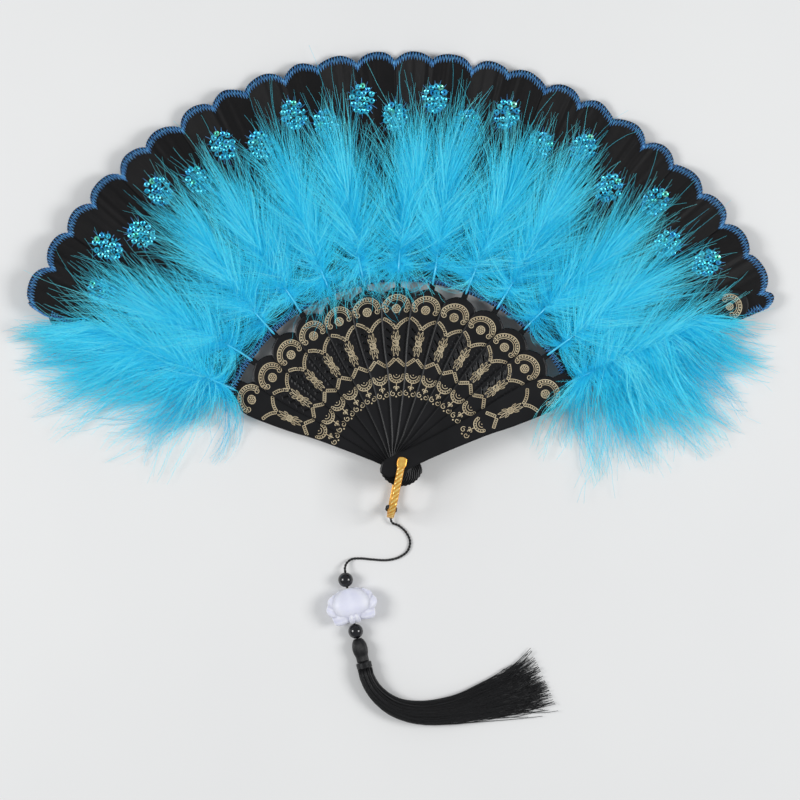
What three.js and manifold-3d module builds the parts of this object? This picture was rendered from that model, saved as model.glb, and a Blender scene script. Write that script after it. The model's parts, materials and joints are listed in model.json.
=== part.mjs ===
// A folding feather fan, opened and lying on a table.
// Millimetres, +Z up. The origin is the middle of the rivet's back face, +X runs to the right
// of the opened fan and +Y from the rivet up through its middle stick.
import * as THREE from "three";
import { mergeVertices } from "three/addons/utils/BufferGeometryUtils.js";
import Module from "manifold-3d";

const wasm = await Module();
wasm.setup();

// Opening: the back guard lies on the left and the sticks step clockwise to the front guard.
const STICK_COUNT = 13;
const BACK_ANGLE = 156.3;
const STICK_PITCH = 10.9;

// Clearances between pieces that touch, and between the levels of the stack.
const SEAT_GAP = 0.3;
const LEVEL_GAP = 0.35;
const BORE_GAP = 0.3;

// Sticks: distances from the rivet and half widths there.
const STICK_T = 1.0;
const RIB_T = 0.6;
const TAIL_LENGTH = 12.7;
const HEAD_HALF = 5.1;
const NECK_AT = 14;
const NECK_HALF = 4.85;
const WAIST_AT = 46;
const WAIST_HALF = 6.5;
const BELLY_AT = 62;
const BELLY_HALF = 8.4;
const SHOULDER_AT = 85;
const SHOULDER_HALF = 9.6;
const PLATE_TOP = 94.5;
const OUTLINE_STEPS = 24;
const RIB_ROOT_HALF = 1.6;
const RIB_TIP_HALF = 1.1;
const RIB_TIP = 207;

// Slanted slots pierced through both flanks of each inner stick.
const SLOT_COUNT = 5;
const SLOT_FIRST = 57.5;
const SLOT_STEP = 4.4;
const SLOT_LENGTH = 3.2;
const SLOT_WIDTH = 0.9;
const SLOT_SLANT = 52;
const SLOT_EDGE = 3.1;

// Guards: the same plate, thicker, with a long blade that widens to a round tip.
const GUARD_T = 1.8;
const BLADE_ROOT_HALF = 6.0;
const BLADE_TIP_HALF = 8.2;
const BLADE_TIP = 205;

// Rivet and carrying ring.
const RIVET_R = 1.5;
const BORE_SIDES = 16;
const PIN_SEAT = 0.6;
const CAP_R = 3.2;
const CAP_T = 1.2;
const CAP_SOCKET = 0.6;
const RING_T = 1.4;
const RING_HALF = 1.9;
const RING_BOSS_R = 2.6;
const RING_REACH = 30;
const RING_ANGLE = 258.7;

// Leaf: a pleated sheet with two scallops in each gore.
const LEAF_T = 0.35;
const LEAF_INNER = 97;
const LEAF_CUSP = 212;
const LEAF_CREST = 221;
const LEAF_LEFT_MARGIN = 1.3;
const LEAF_RIGHT_MARGIN = 2.6;
const PLEAT_INNER = 1.2;
const PLEAT_OUTER = 3.4;
const LAST_PLEAT_RELIEF = 0.03;
const SCALLOPS_PER_GORE = 2;
const SCALLOP_ROUNDNESS = 0.7;
const GORE_STEPS = 8;

// Plumes: one on each stick, held to its own share of the fan.
const QUILL_START = 97.6;
const QUILL_HALF = 0.8;
const QUILL_T = 1.4;
const VANE_START = 106;
const VANE_FULL = 126;
const VANE_TAPER = 160;
const VANE_TIP = 194;
const VANE_FADE = 200;
const VANE_T = 6.5;
const VANE_EDGE_T = 0.7;
const VANE_GAP = 0.2;
const VANE_ROWS = 13;
const VANE_COLUMNS = 5;
const VANE_CROWN = 0.85;
const VANE_NOTCH = 0.24;
const END_VANE_HALF = 4.5;

// Down of the end plumes: reach past each guard, and where it comes down to the table.
const DOWN_START = 98;
const DOWN_TIP = 203;
const DOWN_ROOT_HALF = 5.3;
const DOWN_LEFT_SWEEP = 21;
const DOWN_RIGHT_SWEEP = 28;
const DOWN_T = 8;
const DOWN_FALL = 14;
const DOWN_ROWS = 13;
const DOWN_COLUMNS = 7;
const DOWN_ARCH = [0.16, 0.88];
const DOWN_CROWN_ACROSS = [0.12, 0.97];
const DOWN_CROWN_ALONG = [0.1, 0.95];

// Pendant.
const CORD_R = 0.7;
const LOOP_ANGLE = -55;
const LOOP_SPREAD = 1.32;
const LOOP_STEPS = 16;
const CORD_SIDES = 8;
const CORD_STEPS = 40;
const CORD_LIFT = 0.05;
const BEAD_R = 4;
const BEAD_BORE_R = 1;
const BEAD_SIDES = 16;
const BEAD_STEPS = 8;
const UPPER_BEAD = [-29.2, -62.3];
const LOTUS = [-25.9, -76];
const LOTUS_HALF = [13.4, 9.55, 6.4];
const LOTUS_PETALS = 10;
const LOTUS_PETAL_DEPTH = 0.07;
const LOTUS_SIDES = 30;
const LOTUS_RINGS = 10;
const LOWER_BEAD = [-23.8, -89.9];
const TASSEL_TURN = -76;
const TASSEL_HEAD_R = 4.1;
const TASSEL_HEAD_LENGTH = 12.6;
const TASSEL_SIDES = 18;
const HEAD_TAPER = 0.72;
const BINDING_R = 4.2;
const BINDING_LENGTH = 3.2;
const BINDING_TAPER = 0.9;
const SKIRT_LOCKS = 9;
const SKIRT_ROWS = 14;
const SKIRT_SIDES = 27;
const SKIRT_RAGGED = 8;
const SKIRT_STRAIGHT = 5;
const SKIRT_TOP_HALF = 3.8;
const SKIRT_NECK_HALF = 6.4;
const SKIRT_END_FLARE = 8.2;
const SKIRT_END_RISE = 1.7;
const SKIRT_SEAT = 1.1;
const SKIRT_FLUTE = 0.09;

const rad = THREE.MathUtils.degToRad;
const deg = THREE.MathUtils.radToDeg;
const lerp = THREE.MathUtils.lerp;
const smooth = THREE.MathUtils.smoothstep;

// Heights in the stack, from the rivet's back face up.
const LAST = STICK_COUNT - 1;
const RING_BACK_Z = CAP_T + SEAT_GAP;
const BACK_GUARD_Z = RING_BACK_Z + RING_T + SEAT_GAP;
const LEVEL_STEP = STICK_T + LEVEL_GAP;
const FIRST_STICK_Z = BACK_GUARD_Z + GUARD_T + LEVEL_GAP;
const FRONT_GUARD_Z = FIRST_STICK_Z + (STICK_COUNT - 2) * LEVEL_STEP;
const RING_FRONT_Z = FRONT_GUARD_Z + GUARD_T + SEAT_GAP;

// Underside of one stick, counted from the back guard, which is number 0.
function levelOf(index) {
  if (index === 0) return BACK_GUARD_Z;
  if (index === LAST) return FRONT_GUARD_Z;
  return FIRST_STICK_Z + (index - 1) * LEVEL_STEP;
}

const angleOf = (index) => BACK_ANGLE - index * STICK_PITCH;
const FRONT_ANGLE = angleOf(LAST);

// The stack climbs from left to right, so the fan lies rolled to the right until both guards
// are level, and pitched forward until the ribs' tips reach the table.
const GUARD_SPAN = BLADE_TIP * (Math.cos(rad(FRONT_ANGLE)) - Math.cos(rad(BACK_ANGLE)));
const ROLL = Math.atan2(FRONT_GUARD_Z - BACK_GUARD_Z, GUARD_SPAN);
const PITCH = Math.atan2((FRONT_GUARD_Z + BACK_GUARD_Z) / 2 - SEAT_GAP, RIB_TIP);
const LAY = new THREE.Euler(-PITCH, ROLL, 0);
const TABLE_Z = -CAP_R * Math.hypot(Math.sin(ROLL), Math.sin(PITCH));

const part = new THREE.Group();
const fan = new THREE.Group();
fan.rotation.copy(LAY);
part.add(fan);

const FINISH = {
  lacquer: { color: 0x121214, roughness: 0.35, metalness: 0 },
  steel: { color: 0x1b1b1e, roughness: 0.3, metalness: 0.4 },
  gilt: { color: 0xd9a032, roughness: 0.25, metalness: 1 },
  satin: { color: 0x0d0d10, roughness: 0.55, metalness: 0 },
  marabou: { color: 0x2eb8e0, roughness: 0.8, metalness: 0 },
  thread: { color: 0x0b0b0d, roughness: 0.6, metalness: 0 },
  glassBead: { color: 0x060608, roughness: 0.08, metalness: 0 },
  frosted: { color: 0xd0d1ec, roughness: 0.45, metalness: 0 },
};

function addPiece(group, name, geometry, finish) {
  const mesh = new THREE.Mesh(geometry, new THREE.MeshStandardMaterial(FINISH[finish]));
  mesh.name = name;
  group.add(mesh);
  return mesh;
}

// A closed mesh as a solid for joining and cutting, and back again.
function solidOf(geometry) {
  const bare = geometry.clone();
  bare.deleteAttribute("normal");
  bare.deleteAttribute("uv");
  const merged = mergeVertices(bare, 1e-4);
  return new wasm.Manifold(
    new wasm.Mesh({
      numProp: 3,
      vertProperties: new Float32Array(merged.attributes.position.array),
      triVerts: new Uint32Array(merged.index.array),
    }),
  );
}

function geometryOf(solid) {
  const mesh = solid.getMesh();
  const geometry = new THREE.BufferGeometry();
  geometry.setAttribute("position", new THREE.BufferAttribute(mesh.vertProperties, 3));
  geometry.setIndex(new THREE.BufferAttribute(mesh.triVerts, 1));
  geometry.computeVertexNormals();
  return geometry;
}

// A flat plate of one outline, from its underside up.
function plate(shape, thickness, underside = 0, curveSegments = 8) {
  const options = { depth: thickness, bevelEnabled: false, curveSegments };
  return new THREE.ExtrudeGeometry(shape, options).translate(0, 0, underside);
}

// A closed slab between two sheets of points, both given row by row.
function slab(rows, columns, topPoint, bottomPoint) {
  const points = [];
  for (const sheet of [topPoint, bottomPoint]) {
    for (let r = 0; r < rows; r++) {
      for (let c = 0; c < columns; c++) {
        points.push(...sheet(r / (rows - 1), c / (columns - 1)).toArray());
      }
    }
  }
  const top = (r, c) => r * columns + c;
  const under = (r, c) => rows * columns + top(r, c);
  const faces = [];
  const quad = (a, b, c, d) => faces.push(a, c, b, a, d, c);
  for (let r = 0; r + 1 < rows; r++) {
    for (let c = 0; c + 1 < columns; c++) {
      quad(top(r, c), top(r + 1, c), top(r + 1, c + 1), top(r, c + 1));
      quad(under(r, c), under(r, c + 1), under(r + 1, c + 1), under(r + 1, c));
    }
    quad(top(r, 0), under(r, 0), under(r + 1, 0), top(r + 1, 0));
    quad(top(r, columns - 1), top(r + 1, columns - 1), under(r + 1, columns - 1), under(r, columns - 1));
  }
  for (let c = 0; c + 1 < columns; c++) {
    quad(top(0, c), top(0, c + 1), under(0, c + 1), under(0, c));
    quad(top(rows - 1, c), under(rows - 1, c), under(rows - 1, c + 1), top(rows - 1, c + 1));
  }
  const geometry = new THREE.BufferGeometry();
  geometry.setAttribute("position", new THREE.Float32BufferAttribute(points, 3));
  geometry.setIndex(faces);
  geometry.computeVertexNormals();
  return geometry;
}

// A closed outline that is symmetric about the stick's axis, from points along one side.
function symmetricOutline(side, steps) {
  const curve = new THREE.SplineCurve(side.map(([along, half]) => new THREE.Vector2(along, half)));
  const right = curve.getPoints(steps);
  const left = right.slice(1, -1).reverse();
  return new THREE.Shape([...right, ...left.map((p) => new THREE.Vector2(p.x, -p.y))]);
}

// The decorated plate: round tail, slim neck, and a body that swells to a round shoulder.
function plateOutline() {
  const tailRound = TAIL_LENGTH - HEAD_HALF * 0.3;
  const shoulderRise = PLATE_TOP - SHOULDER_AT;
  return symmetricOutline(
    [
      [-TAIL_LENGTH, 0],
      [-tailRound, HEAD_HALF * 0.55],
      [-TAIL_LENGTH / 2, HEAD_HALF],
      [NECK_AT, NECK_HALF],
      [WAIST_AT, WAIST_HALF],
      [BELLY_AT, BELLY_HALF],
      [SHOULDER_AT, SHOULDER_HALF],
      [SHOULDER_AT + shoulderRise * 0.72, SHOULDER_HALF * 0.68],
      [PLATE_TOP, 0],
    ],
    OUTLINE_STEPS,
  );
}

// A strip from the plate out to a round tip.
function stripOutline(start, end, rootHalf, tipHalf) {
  const shape = new THREE.Shape();
  shape.moveTo(start, -rootHalf);
  shape.lineTo(end - tipHalf, -tipHalf);
  shape.absarc(end - tipHalf, 0, tipHalf, -Math.PI / 2, Math.PI / 2, false);
  shape.lineTo(start, rootHalf);
  shape.closePath();
  return shape;
}

function boreCutter(height) {
  const radius = RIVET_R + BORE_GAP;
  const drill = new THREE.CylinderGeometry(radius, radius, height, BORE_SIDES);
  return solidOf(drill.rotateX(Math.PI / 2));
}

// Half width of the plate between its belly and its shoulder.
function flankHalf(along) {
  return lerp(BELLY_HALF, SHOULDER_HALF, (along - BELLY_AT) / (SHOULDER_AT - BELLY_AT));
}

function slotCutter(along, side) {
  const slot = new THREE.BoxGeometry(SLOT_LENGTH, SLOT_WIDTH, STICK_T * 3);
  slot.rotateZ(side * rad(SLOT_SLANT));
  return solidOf(slot.translate(along, side * (flankHalf(along) - SLOT_EDGE), STICK_T / 2));
}

function innerStick() {
  let stick = solidOf(plate(plateOutline(), STICK_T));
  const rib = stripOutline(PLATE_TOP - RIB_ROOT_HALF * 2, RIB_TIP, RIB_ROOT_HALF, RIB_TIP_HALF);
  stick = stick.add(solidOf(plate(rib, RIB_T, 0, 4)));
  stick = stick.subtract(boreCutter(STICK_T * 4));
  for (let s = 0; s < SLOT_COUNT; s++) {
    for (const side of [-1, 1]) stick = stick.subtract(slotCutter(SLOT_FIRST + s * SLOT_STEP, side));
  }
  return geometryOf(stick);
}

function guardStick() {
  const blade = stripOutline(SHOULDER_AT, BLADE_TIP, BLADE_ROOT_HALF, BLADE_TIP_HALF);
  const guard = solidOf(plate(plateOutline(), GUARD_T)).add(solidOf(plate(blade, GUARD_T)));
  return geometryOf(guard.subtract(boreCutter(GUARD_T * 4)));
}

function stickName(index) {
  if (index === 0) return "back_guard";
  if (index === LAST) return "front_guard";
  return "stick_" + String(index + 1).padStart(2, "0");
}

const numbered = (name, index) => name + "_" + String(index + 1).padStart(2, "0");

for (let i = 0; i < STICK_COUNT; i++) {
  const isGuard = i === 0 || i === LAST;
  const stick = addPiece(fan, stickName(i), isGuard ? guardStick() : innerStick(), "lacquer");
  stick.rotation.z = rad(angleOf(i));
  stick.position.z = levelOf(i);
}

// Rivet: a plain pin, pressed into a flat cap behind and ending inside the ring's front end.
function turned(profile, segments) {
  const points = profile.map(([radius, height]) => new THREE.Vector2(radius, height));
  return new THREE.LatheGeometry(points, segments).rotateX(Math.PI / 2);
}

const pinFoot = CAP_T - CAP_SOCKET + SEAT_GAP;
const pinTop = RING_FRONT_Z + PIN_SEAT;
const pinProfile = [
  [0, pinFoot],
  [RIVET_R, pinFoot],
  [RIVET_R, pinTop],
  [0, pinTop],
];
addPiece(fan, "rivet_pin", turned(pinProfile, 20), "steel");

const capProfile = [
  [0, 0],
  [CAP_R, 0],
  [CAP_R, CAP_T],
  [RIVET_R + BORE_GAP, CAP_T],
  [RIVET_R + BORE_GAP, CAP_T - CAP_SOCKET],
  [0, CAP_T - CAP_SOCKET],
];
addPiece(fan, "rivet_back_cap", turned(capProfile, 24), "steel");

// Carrying ring: a flat strip bent into a U over the stack, pinned by both ends.
const RING_OUTER_R = (RING_FRONT_Z + RING_T - RING_BACK_Z) / 2;
const RING_MID_Z = RING_BACK_Z + RING_OUTER_R;
const RING_BEND_AT = RING_REACH - RING_OUTER_R;

function ringSide() {
  const inner = RING_OUTER_R - RING_T;
  const shape = new THREE.Shape();
  shape.moveTo(-RING_BOSS_R, -RING_OUTER_R);
  shape.lineTo(RING_BEND_AT, -RING_OUTER_R);
  shape.absarc(RING_BEND_AT, 0, RING_OUTER_R, -Math.PI / 2, Math.PI / 2, false);
  shape.lineTo(-RING_BOSS_R, RING_OUTER_R);
  shape.lineTo(-RING_BOSS_R, inner);
  shape.lineTo(RING_BEND_AT, inner);
  shape.absarc(RING_BEND_AT, 0, inner, Math.PI / 2, -Math.PI / 2, true);
  shape.lineTo(-RING_BOSS_R, -inner);
  shape.closePath();
  return plate(shape, RING_BOSS_R * 2, -RING_BOSS_R, 12).rotateX(Math.PI / 2);
}

function ringPlan() {
  const shape = new THREE.Shape();
  const meet = Math.acos(RING_HALF / RING_BOSS_R);
  shape.absarc(0, 0, RING_BOSS_R, Math.PI / 2 - meet, Math.PI * 1.5 + meet, false);
  shape.lineTo(RING_REACH + RING_T, -RING_HALF);
  shape.lineTo(RING_REACH + RING_T, RING_HALF);
  shape.closePath();
  return plate(shape, RING_OUTER_R * 2 + RING_T, -RING_OUTER_R - RING_T / 2, 12);
}

// The bore runs through the back end and stops inside the front one, whose face stays whole.
const socketTop = RING_OUTER_R - RING_T + PIN_SEAT + SEAT_GAP;
const boreLength = RING_OUTER_R * 3;
const ringBore = boreCutter(boreLength).translate([0, 0, socketTop - boreLength / 2]);
const ringSolid = solidOf(ringSide()).intersect(solidOf(ringPlan())).subtract(ringBore);
const ring = addPiece(fan, "ring", geometryOf(ringSolid), "gilt");
ring.rotation.z = rad(RING_ANGLE);
ring.position.z = RING_MID_Z;

// Leaf. Its underside rests on the ribs, on the back guard and below the front guard.
function leafSeat(index) {
  if (index === 0) return BACK_GUARD_Z + GUARD_T + SEAT_GAP;
  if (index === LAST) return FRONT_GUARD_Z - SEAT_GAP - LEAF_T;
  return levelOf(index) + RIB_T + SEAT_GAP;
}

// The last pleat ends where the front guard's edge begins to cover it.
const guardCover = Math.max(
  Math.asin((BLADE_ROOT_HALF + SEAT_GAP) / LEAF_INNER),
  Math.asin((BLADE_TIP_HALF + SEAT_GAP) / (BLADE_TIP - BLADE_TIP_HALF)),
);
const LAST_PLEAT_SHARE = 1 - LAST_PLEAT_RELIEF - deg(guardCover) / STICK_PITCH;

// Height of the leaf's underside at a stick number, with fractions between sticks, and a radius.
// A plume bridges from a crease to its own side, so for it the far slope of a pleat stays up.
function leafHeight(number, radius, isBridged = false) {
  const held = THREE.MathUtils.clamp(number, 0, LAST);
  const gore = Math.min(Math.floor(held), LAST - 1);
  const share = held - gore;
  const pleatShare = gore === LAST - 1 ? LAST_PLEAT_SHARE : 1;
  const slope = (2 * share) / pleatShare;
  const pleat = isBridged ? Math.min(1, slope) : Math.max(0, 1 - Math.abs(slope - 1));
  const reach = (radius - LEAF_INNER) / (LEAF_CREST - LEAF_INNER);
  const rise = pleatShare * lerp(PLEAT_INNER, PLEAT_OUTER, reach);
  return lerp(leafSeat(gore), leafSeat(gore + 1), share) + pleat * rise;
}

function fanPoint(number, radius, height) {
  const angle = rad(BACK_ANGLE - number * STICK_PITCH);
  return new THREE.Vector3(radius * Math.cos(angle), radius * Math.sin(angle), height);
}

function leafGore(gore) {
  const first = gore === 0 ? -LEAF_LEFT_MARGIN / STICK_PITCH : gore;
  const end = gore === LAST - 1 ? LAST + LEAF_RIGHT_MARGIN / STICK_PITCH : gore + 1;
  const seam = deg(SEAT_GAP / 2 / LEAF_INNER) / STICK_PITCH;
  const sheet = (lift) => (row, column) => {
    const number = lerp(first + seam, end - seam, column);
    const scallop = Math.pow(Math.abs(Math.sin(SCALLOPS_PER_GORE * Math.PI * number)), SCALLOP_ROUNDNESS);
    const radius = lerp(LEAF_INNER, lerp(LEAF_CUSP, LEAF_CREST, scallop), row);
    return fanPoint(number, radius, leafHeight(number, radius) + lift);
  };
  return slab(2, GORE_STEPS * SCALLOPS_PER_GORE + 1, sheet(LEAF_T), sheet(0));
}

for (let g = 0; g < LAST; g++) addPiece(fan, numbered("leaf_gore", g), leafGore(g), "satin");

// Plumes. The vane swells from the quill to its full share of the fan and ends in a notched tip.
function vaneSpread(radius) {
  return smooth(radius, VANE_START, VANE_FULL) * (1 - smooth(radius, VANE_TAPER, VANE_FADE));
}

function featherSide(index, side, radius, row) {
  const isFree = (index === 0 && side < 0) || (index === LAST && side > 0);
  const share = rad(STICK_PITCH / 2 - VANE_GAP);
  const full = isFree ? END_VANE_HALF : radius * Math.sin(share);
  const notch = row % 2 === 1 ? VANE_NOTCH : 0;
  return lerp(QUILL_HALF, full, vaneSpread(radius) * (1 - notch));
}

function feather(index) {
  const radiusAt = (row) => lerp(QUILL_START, VANE_TIP, row);
  const place = (row, column) => {
    const radius = radiusAt(row);
    const side = column * 2 - 1;
    const across = side * featherSide(index, side, radius, Math.round(row * (VANE_ROWS - 1)));
    return { radius, side, number: index + deg(Math.asin(across / radius)) / STICK_PITCH };
  };
  const underside = ({ radius, number }) => {
    const isBridged = index === LAST - 1 && number > index;
    const overLeaf = leafHeight(number, radius, isBridged) + LEAF_T + SEAT_GAP;
    return index === LAST ? Math.max(overLeaf, FRONT_GUARD_Z + GUARD_T + SEAT_GAP) : overLeaf;
  };
  const thickness = ({ radius, side }) => {
    const crown = lerp(QUILL_T, VANE_T, vaneSpread(radius));
    return Math.max(VANE_EDGE_T, crown * (1 - side * side * VANE_CROWN));
  };
  const sheet = (isTop) => (row, column) => {
    const at = place(row, column);
    return fanPoint(at.number, at.radius, underside(at) + (isTop ? thickness(at) : 0));
  };
  return slab(VANE_ROWS, VANE_COLUMNS, sheet(true), sheet(false));
}

for (let i = 0; i < STICK_COUNT; i++) addPiece(fan, numbered("feather", i), feather(i), "marabou");

// A stretch of a sine's half wave, between two shares of it.
const halfWave = ([from, to], share) => Math.sin(Math.PI * lerp(from, to, share));

// Down of the end plumes. It lies on the guard's edge and falls past it to the table.
function endDown(index, sweep) {
  const outward = index === 0 ? -1 : 1;
  const guardTop = levelOf(index) + GUARD_T + SEAT_GAP;
  const sheet = (isTop) => (row, column) => {
    const radius = lerp(DOWN_START, DOWN_TIP, row);
    const root = deg(Math.asin(DOWN_ROOT_HALF / radius));
    const edge = deg(Math.asin((BLADE_TIP_HALF + 2 * SEAT_GAP) / radius));
    const notch = Math.round(row * (DOWN_ROWS - 1)) % 2 === 1 ? 1 - VANE_NOTCH / 2 : 1;
    const reach = sweep * notch * halfWave(DOWN_ARCH, row);
    const outside = Math.max(0, column * DOWN_COLUMNS - column - 1) / (DOWN_COLUMNS - 2);
    const turn = outside > 0 ? edge + reach * outside : lerp(root, edge, column * (DOWN_COLUMNS - 1));
    const point = fanPoint(index + (outward * turn) / STICK_PITCH, radius, guardTop).applyEuler(LAY);
    const past = radius * Math.sin(rad(Math.max(0, turn - edge)));
    const fall = smooth(past, 0, DOWN_FALL);
    const crown = halfWave(DOWN_CROWN_ACROSS, column) * halfWave(DOWN_CROWN_ALONG, row);
    point.z = lerp(point.z, TABLE_Z, fall) + (isTop ? Math.max(VANE_EDGE_T, DOWN_T * crown) : 0);
    return point;
  };
  const top = sheet(true);
  const bottom = sheet(false);
  const facing = (points) => (row, column) => points(row, outward < 0 ? 1 - column : column);
  return slab(DOWN_ROWS, DOWN_COLUMNS, facing(top), facing(bottom));
}

addPiece(part, "down_left", endDown(0, DOWN_LEFT_SWEEP), "marabou");
addPiece(part, "down_right", endDown(LAST, DOWN_RIGHT_SWEEP), "marabou");

// Cord: an eye round the ring's bend, then a loose run along the table to the upper bead.
const loopTurn = rad(LOOP_ANGLE);
const loopAlong = RING_HALF * LOOP_SPREAD + CORD_R;
const loopAcross = (RING_T / 2) * LOOP_SPREAD + CORD_R * 1.5;
const loopRadius = RING_OUTER_R - RING_T / 2;

function ringBendPoint(radius) {
  const along = RING_BEND_AT + radius * Math.cos(loopTurn);
  const turned = rad(RING_ANGLE);
  return new THREE.Vector3(
    along * Math.cos(turned),
    along * Math.sin(turned),
    RING_MID_Z + radius * Math.sin(loopTurn),
  );
}

const eye = new THREE.TorusGeometry(1, CORD_R, CORD_SIDES, LOOP_STEPS);
const eyePoints = eye.attributes.position;
for (let i = 0; i < eyePoints.count; i++) {
  const turn = Math.atan2(eyePoints.getY(i), eyePoints.getX(i));
  const offset = Math.hypot(eyePoints.getX(i), eyePoints.getY(i)) - 1;
  eyePoints.setXY(i, (loopAcross + offset) * Math.cos(turn), (loopAlong + offset) * Math.sin(turn));
}
const loop = addPiece(fan, "cord_loop", eye.rotateY(-loopTurn).rotateZ(rad(RING_ANGLE)), "thread");
loop.position.copy(ringBendPoint(loopRadius));

const cordStart = ringBendPoint(loopRadius + loopAcross + CORD_R + SEAT_GAP).applyEuler(LAY);
const onTable = TABLE_Z + CORD_R + CORD_LIFT;
const beadHeight = TABLE_Z + BEAD_R;
const CORD_ROUTE = [
  [-4.4, -31.4, 1.6],
  [-0.6, -33.4, 0.25],
  [3.2, -36.9, 0],
  [5.4, -42.0, 0],
  [4.0, -47.0, 0],
  [-0.6, -50.4, 0],
  [-7.0, -51.9, 0],
  [-14.5, -51.6, 0],
  [-21.0, -51.0, 0],
  [-26.0, -51.4, 0.3],
  [-28.8, -53.6, 1.6],
  [-29.6, -56.4, 2.9],
];
const cordEnd = [UPPER_BEAD[0] - 0.2, UPPER_BEAD[1] + BEAD_R + SEAT_GAP, beadHeight];
const cordPath = new THREE.CatmullRomCurve3([
  cordStart,
  ...CORD_ROUTE.map(([x, y, rise]) => new THREE.Vector3(x, y, onTable + rise)),
  new THREE.Vector3(...cordEnd),
]);

function cordSection() {
  const corners = Array.from({ length: CORD_SIDES }, (_, i) => {
    const turn = (2 * Math.PI * (i + 0.5)) / CORD_SIDES;
    return new THREE.Vector2(CORD_R * Math.cos(turn), CORD_R * Math.sin(turn));
  });
  return new THREE.Shape(corners);
}

const cordOptions = { steps: CORD_STEPS, bevelEnabled: false, extrudePath: cordPath };
addPiece(part, "pendant_cord", new THREE.ExtrudeGeometry(cordSection(), cordOptions), "thread");

// Beads are bored along the cord, which lies along the table.
function borePlaced(geometry, [x, y], height, turn) {
  return geometry.rotateY(Math.PI / 2).rotateZ(rad(turn)).translate(x, y, height);
}

function bead() {
  const half = Math.sqrt(BEAD_R ** 2 - BEAD_BORE_R ** 2);
  const first = Math.atan2(-half, BEAD_BORE_R);
  const profile = Array.from({ length: BEAD_STEPS + 1 }, (_, i) => {
    const turn = lerp(first, -first, i / BEAD_STEPS);
    return [BEAD_R * Math.cos(turn), BEAD_R * Math.sin(turn)];
  });
  return turned([...profile, profile[0]], BEAD_SIDES);
}

addPiece(part, "upper_bead", borePlaced(bead(), UPPER_BEAD, beadHeight, TASSEL_TURN), "glassBead");
addPiece(part, "lower_bead", borePlaced(bead(), LOWER_BEAD, beadHeight, TASSEL_TURN), "glassBead");

// Carved lotus bead: a pillow whose rim breaks into petal tips.
function lotusBead() {
  const body = new THREE.SphereGeometry(1, LOTUS_SIDES, LOTUS_RINGS).rotateX(Math.PI / 2);
  const points = body.attributes.position;
  const [halfX, halfY, halfZ] = LOTUS_HALF;
  for (let i = 0; i < points.count; i++) {
    const turn = Math.atan2(points.getY(i), points.getX(i));
    const rim = Math.hypot(points.getX(i), points.getY(i));
    const petal = 1 + LOTUS_PETAL_DEPTH * rim * (Math.abs(Math.sin((LOTUS_PETALS * turn) / 2)) - 0.5);
    points.setXY(i, points.getX(i) * halfX * petal, points.getY(i) * halfY * petal);
    points.setZ(i, points.getZ(i) * halfZ);
  }
  return body;
}

const lotusHeight = TABLE_Z + LOTUS_HALF[2];
addPiece(part, "lotus_bead", lotusBead().translate(...LOTUS, lotusHeight), "frosted");

// Tassel: a bound head and a fluted skirt that sweeps round to the right.
const tasselWay = new THREE.Vector2(Math.cos(rad(TASSEL_TURN)), Math.sin(rad(TASSEL_TURN)));
const alongTassel = (distance) => [
  LOWER_BEAD[0] + tasselWay.x * distance,
  LOWER_BEAD[1] + tasselWay.y * distance,
];

function barrel(radius, length, belly) {
  return turned(
    [
      [0, -length / 2],
      [radius * belly, -length / 2],
      [radius, -length / 4],
      [radius, length / 4],
      [radius * belly, length / 2],
      [0, length / 2],
    ],
    TASSEL_SIDES,
  );
}

const headStart = BEAD_R + SEAT_GAP;
const headMiddle = alongTassel(headStart + TASSEL_HEAD_LENGTH / 2);
const head = barrel(TASSEL_HEAD_R, TASSEL_HEAD_LENGTH, HEAD_TAPER);
borePlaced(head, headMiddle, TABLE_Z + TASSEL_HEAD_R, TASSEL_TURN);
addPiece(part, "tassel_head", head, "thread");

const bindingStart = headStart + TASSEL_HEAD_LENGTH + SEAT_GAP;
const bindingMiddle = alongTassel(bindingStart + BINDING_LENGTH / 2);
const binding = barrel(BINDING_R, BINDING_LENGTH, BINDING_TAPER);
borePlaced(binding, bindingMiddle, TABLE_Z + BINDING_R, TASSEL_TURN);
addPiece(part, "tassel_binding", binding, "thread");

const skirtAt = bindingStart + BINDING_LENGTH + SEAT_GAP;
const skirtStart = alongTassel(skirtAt);
const SKIRT_ROUTE = [
  [-13.0, -122.6],
  [-3.0, -130.4],
  [10.7, -133.8],
  [28.0, -132.4],
  [48.2, -127.0],
  [66.0, -120.6],
  [78.0, -115.4],
];
const skirtPath = new THREE.CatmullRomCurve3(
  [skirtStart, alongTassel(skirtAt + SKIRT_STRAIGHT), ...SKIRT_ROUTE].map(
    ([x, y]) => new THREE.Vector3(x, y, 0),
  ),
);

// Half width and half height of the skirt along its length, from 0 to 1.
function skirtHalf(share) {
  const neck = lerp(SKIRT_TOP_HALF, SKIRT_NECK_HALF, smooth(share, 0, 0.4));
  return neck + SKIRT_END_FLARE * Math.pow(share, 2.2);
}

function skirtRise(share) {
  return lerp(SKIRT_TOP_HALF, SKIRT_END_RISE, smooth(share, 0, 0.9));
}

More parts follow.
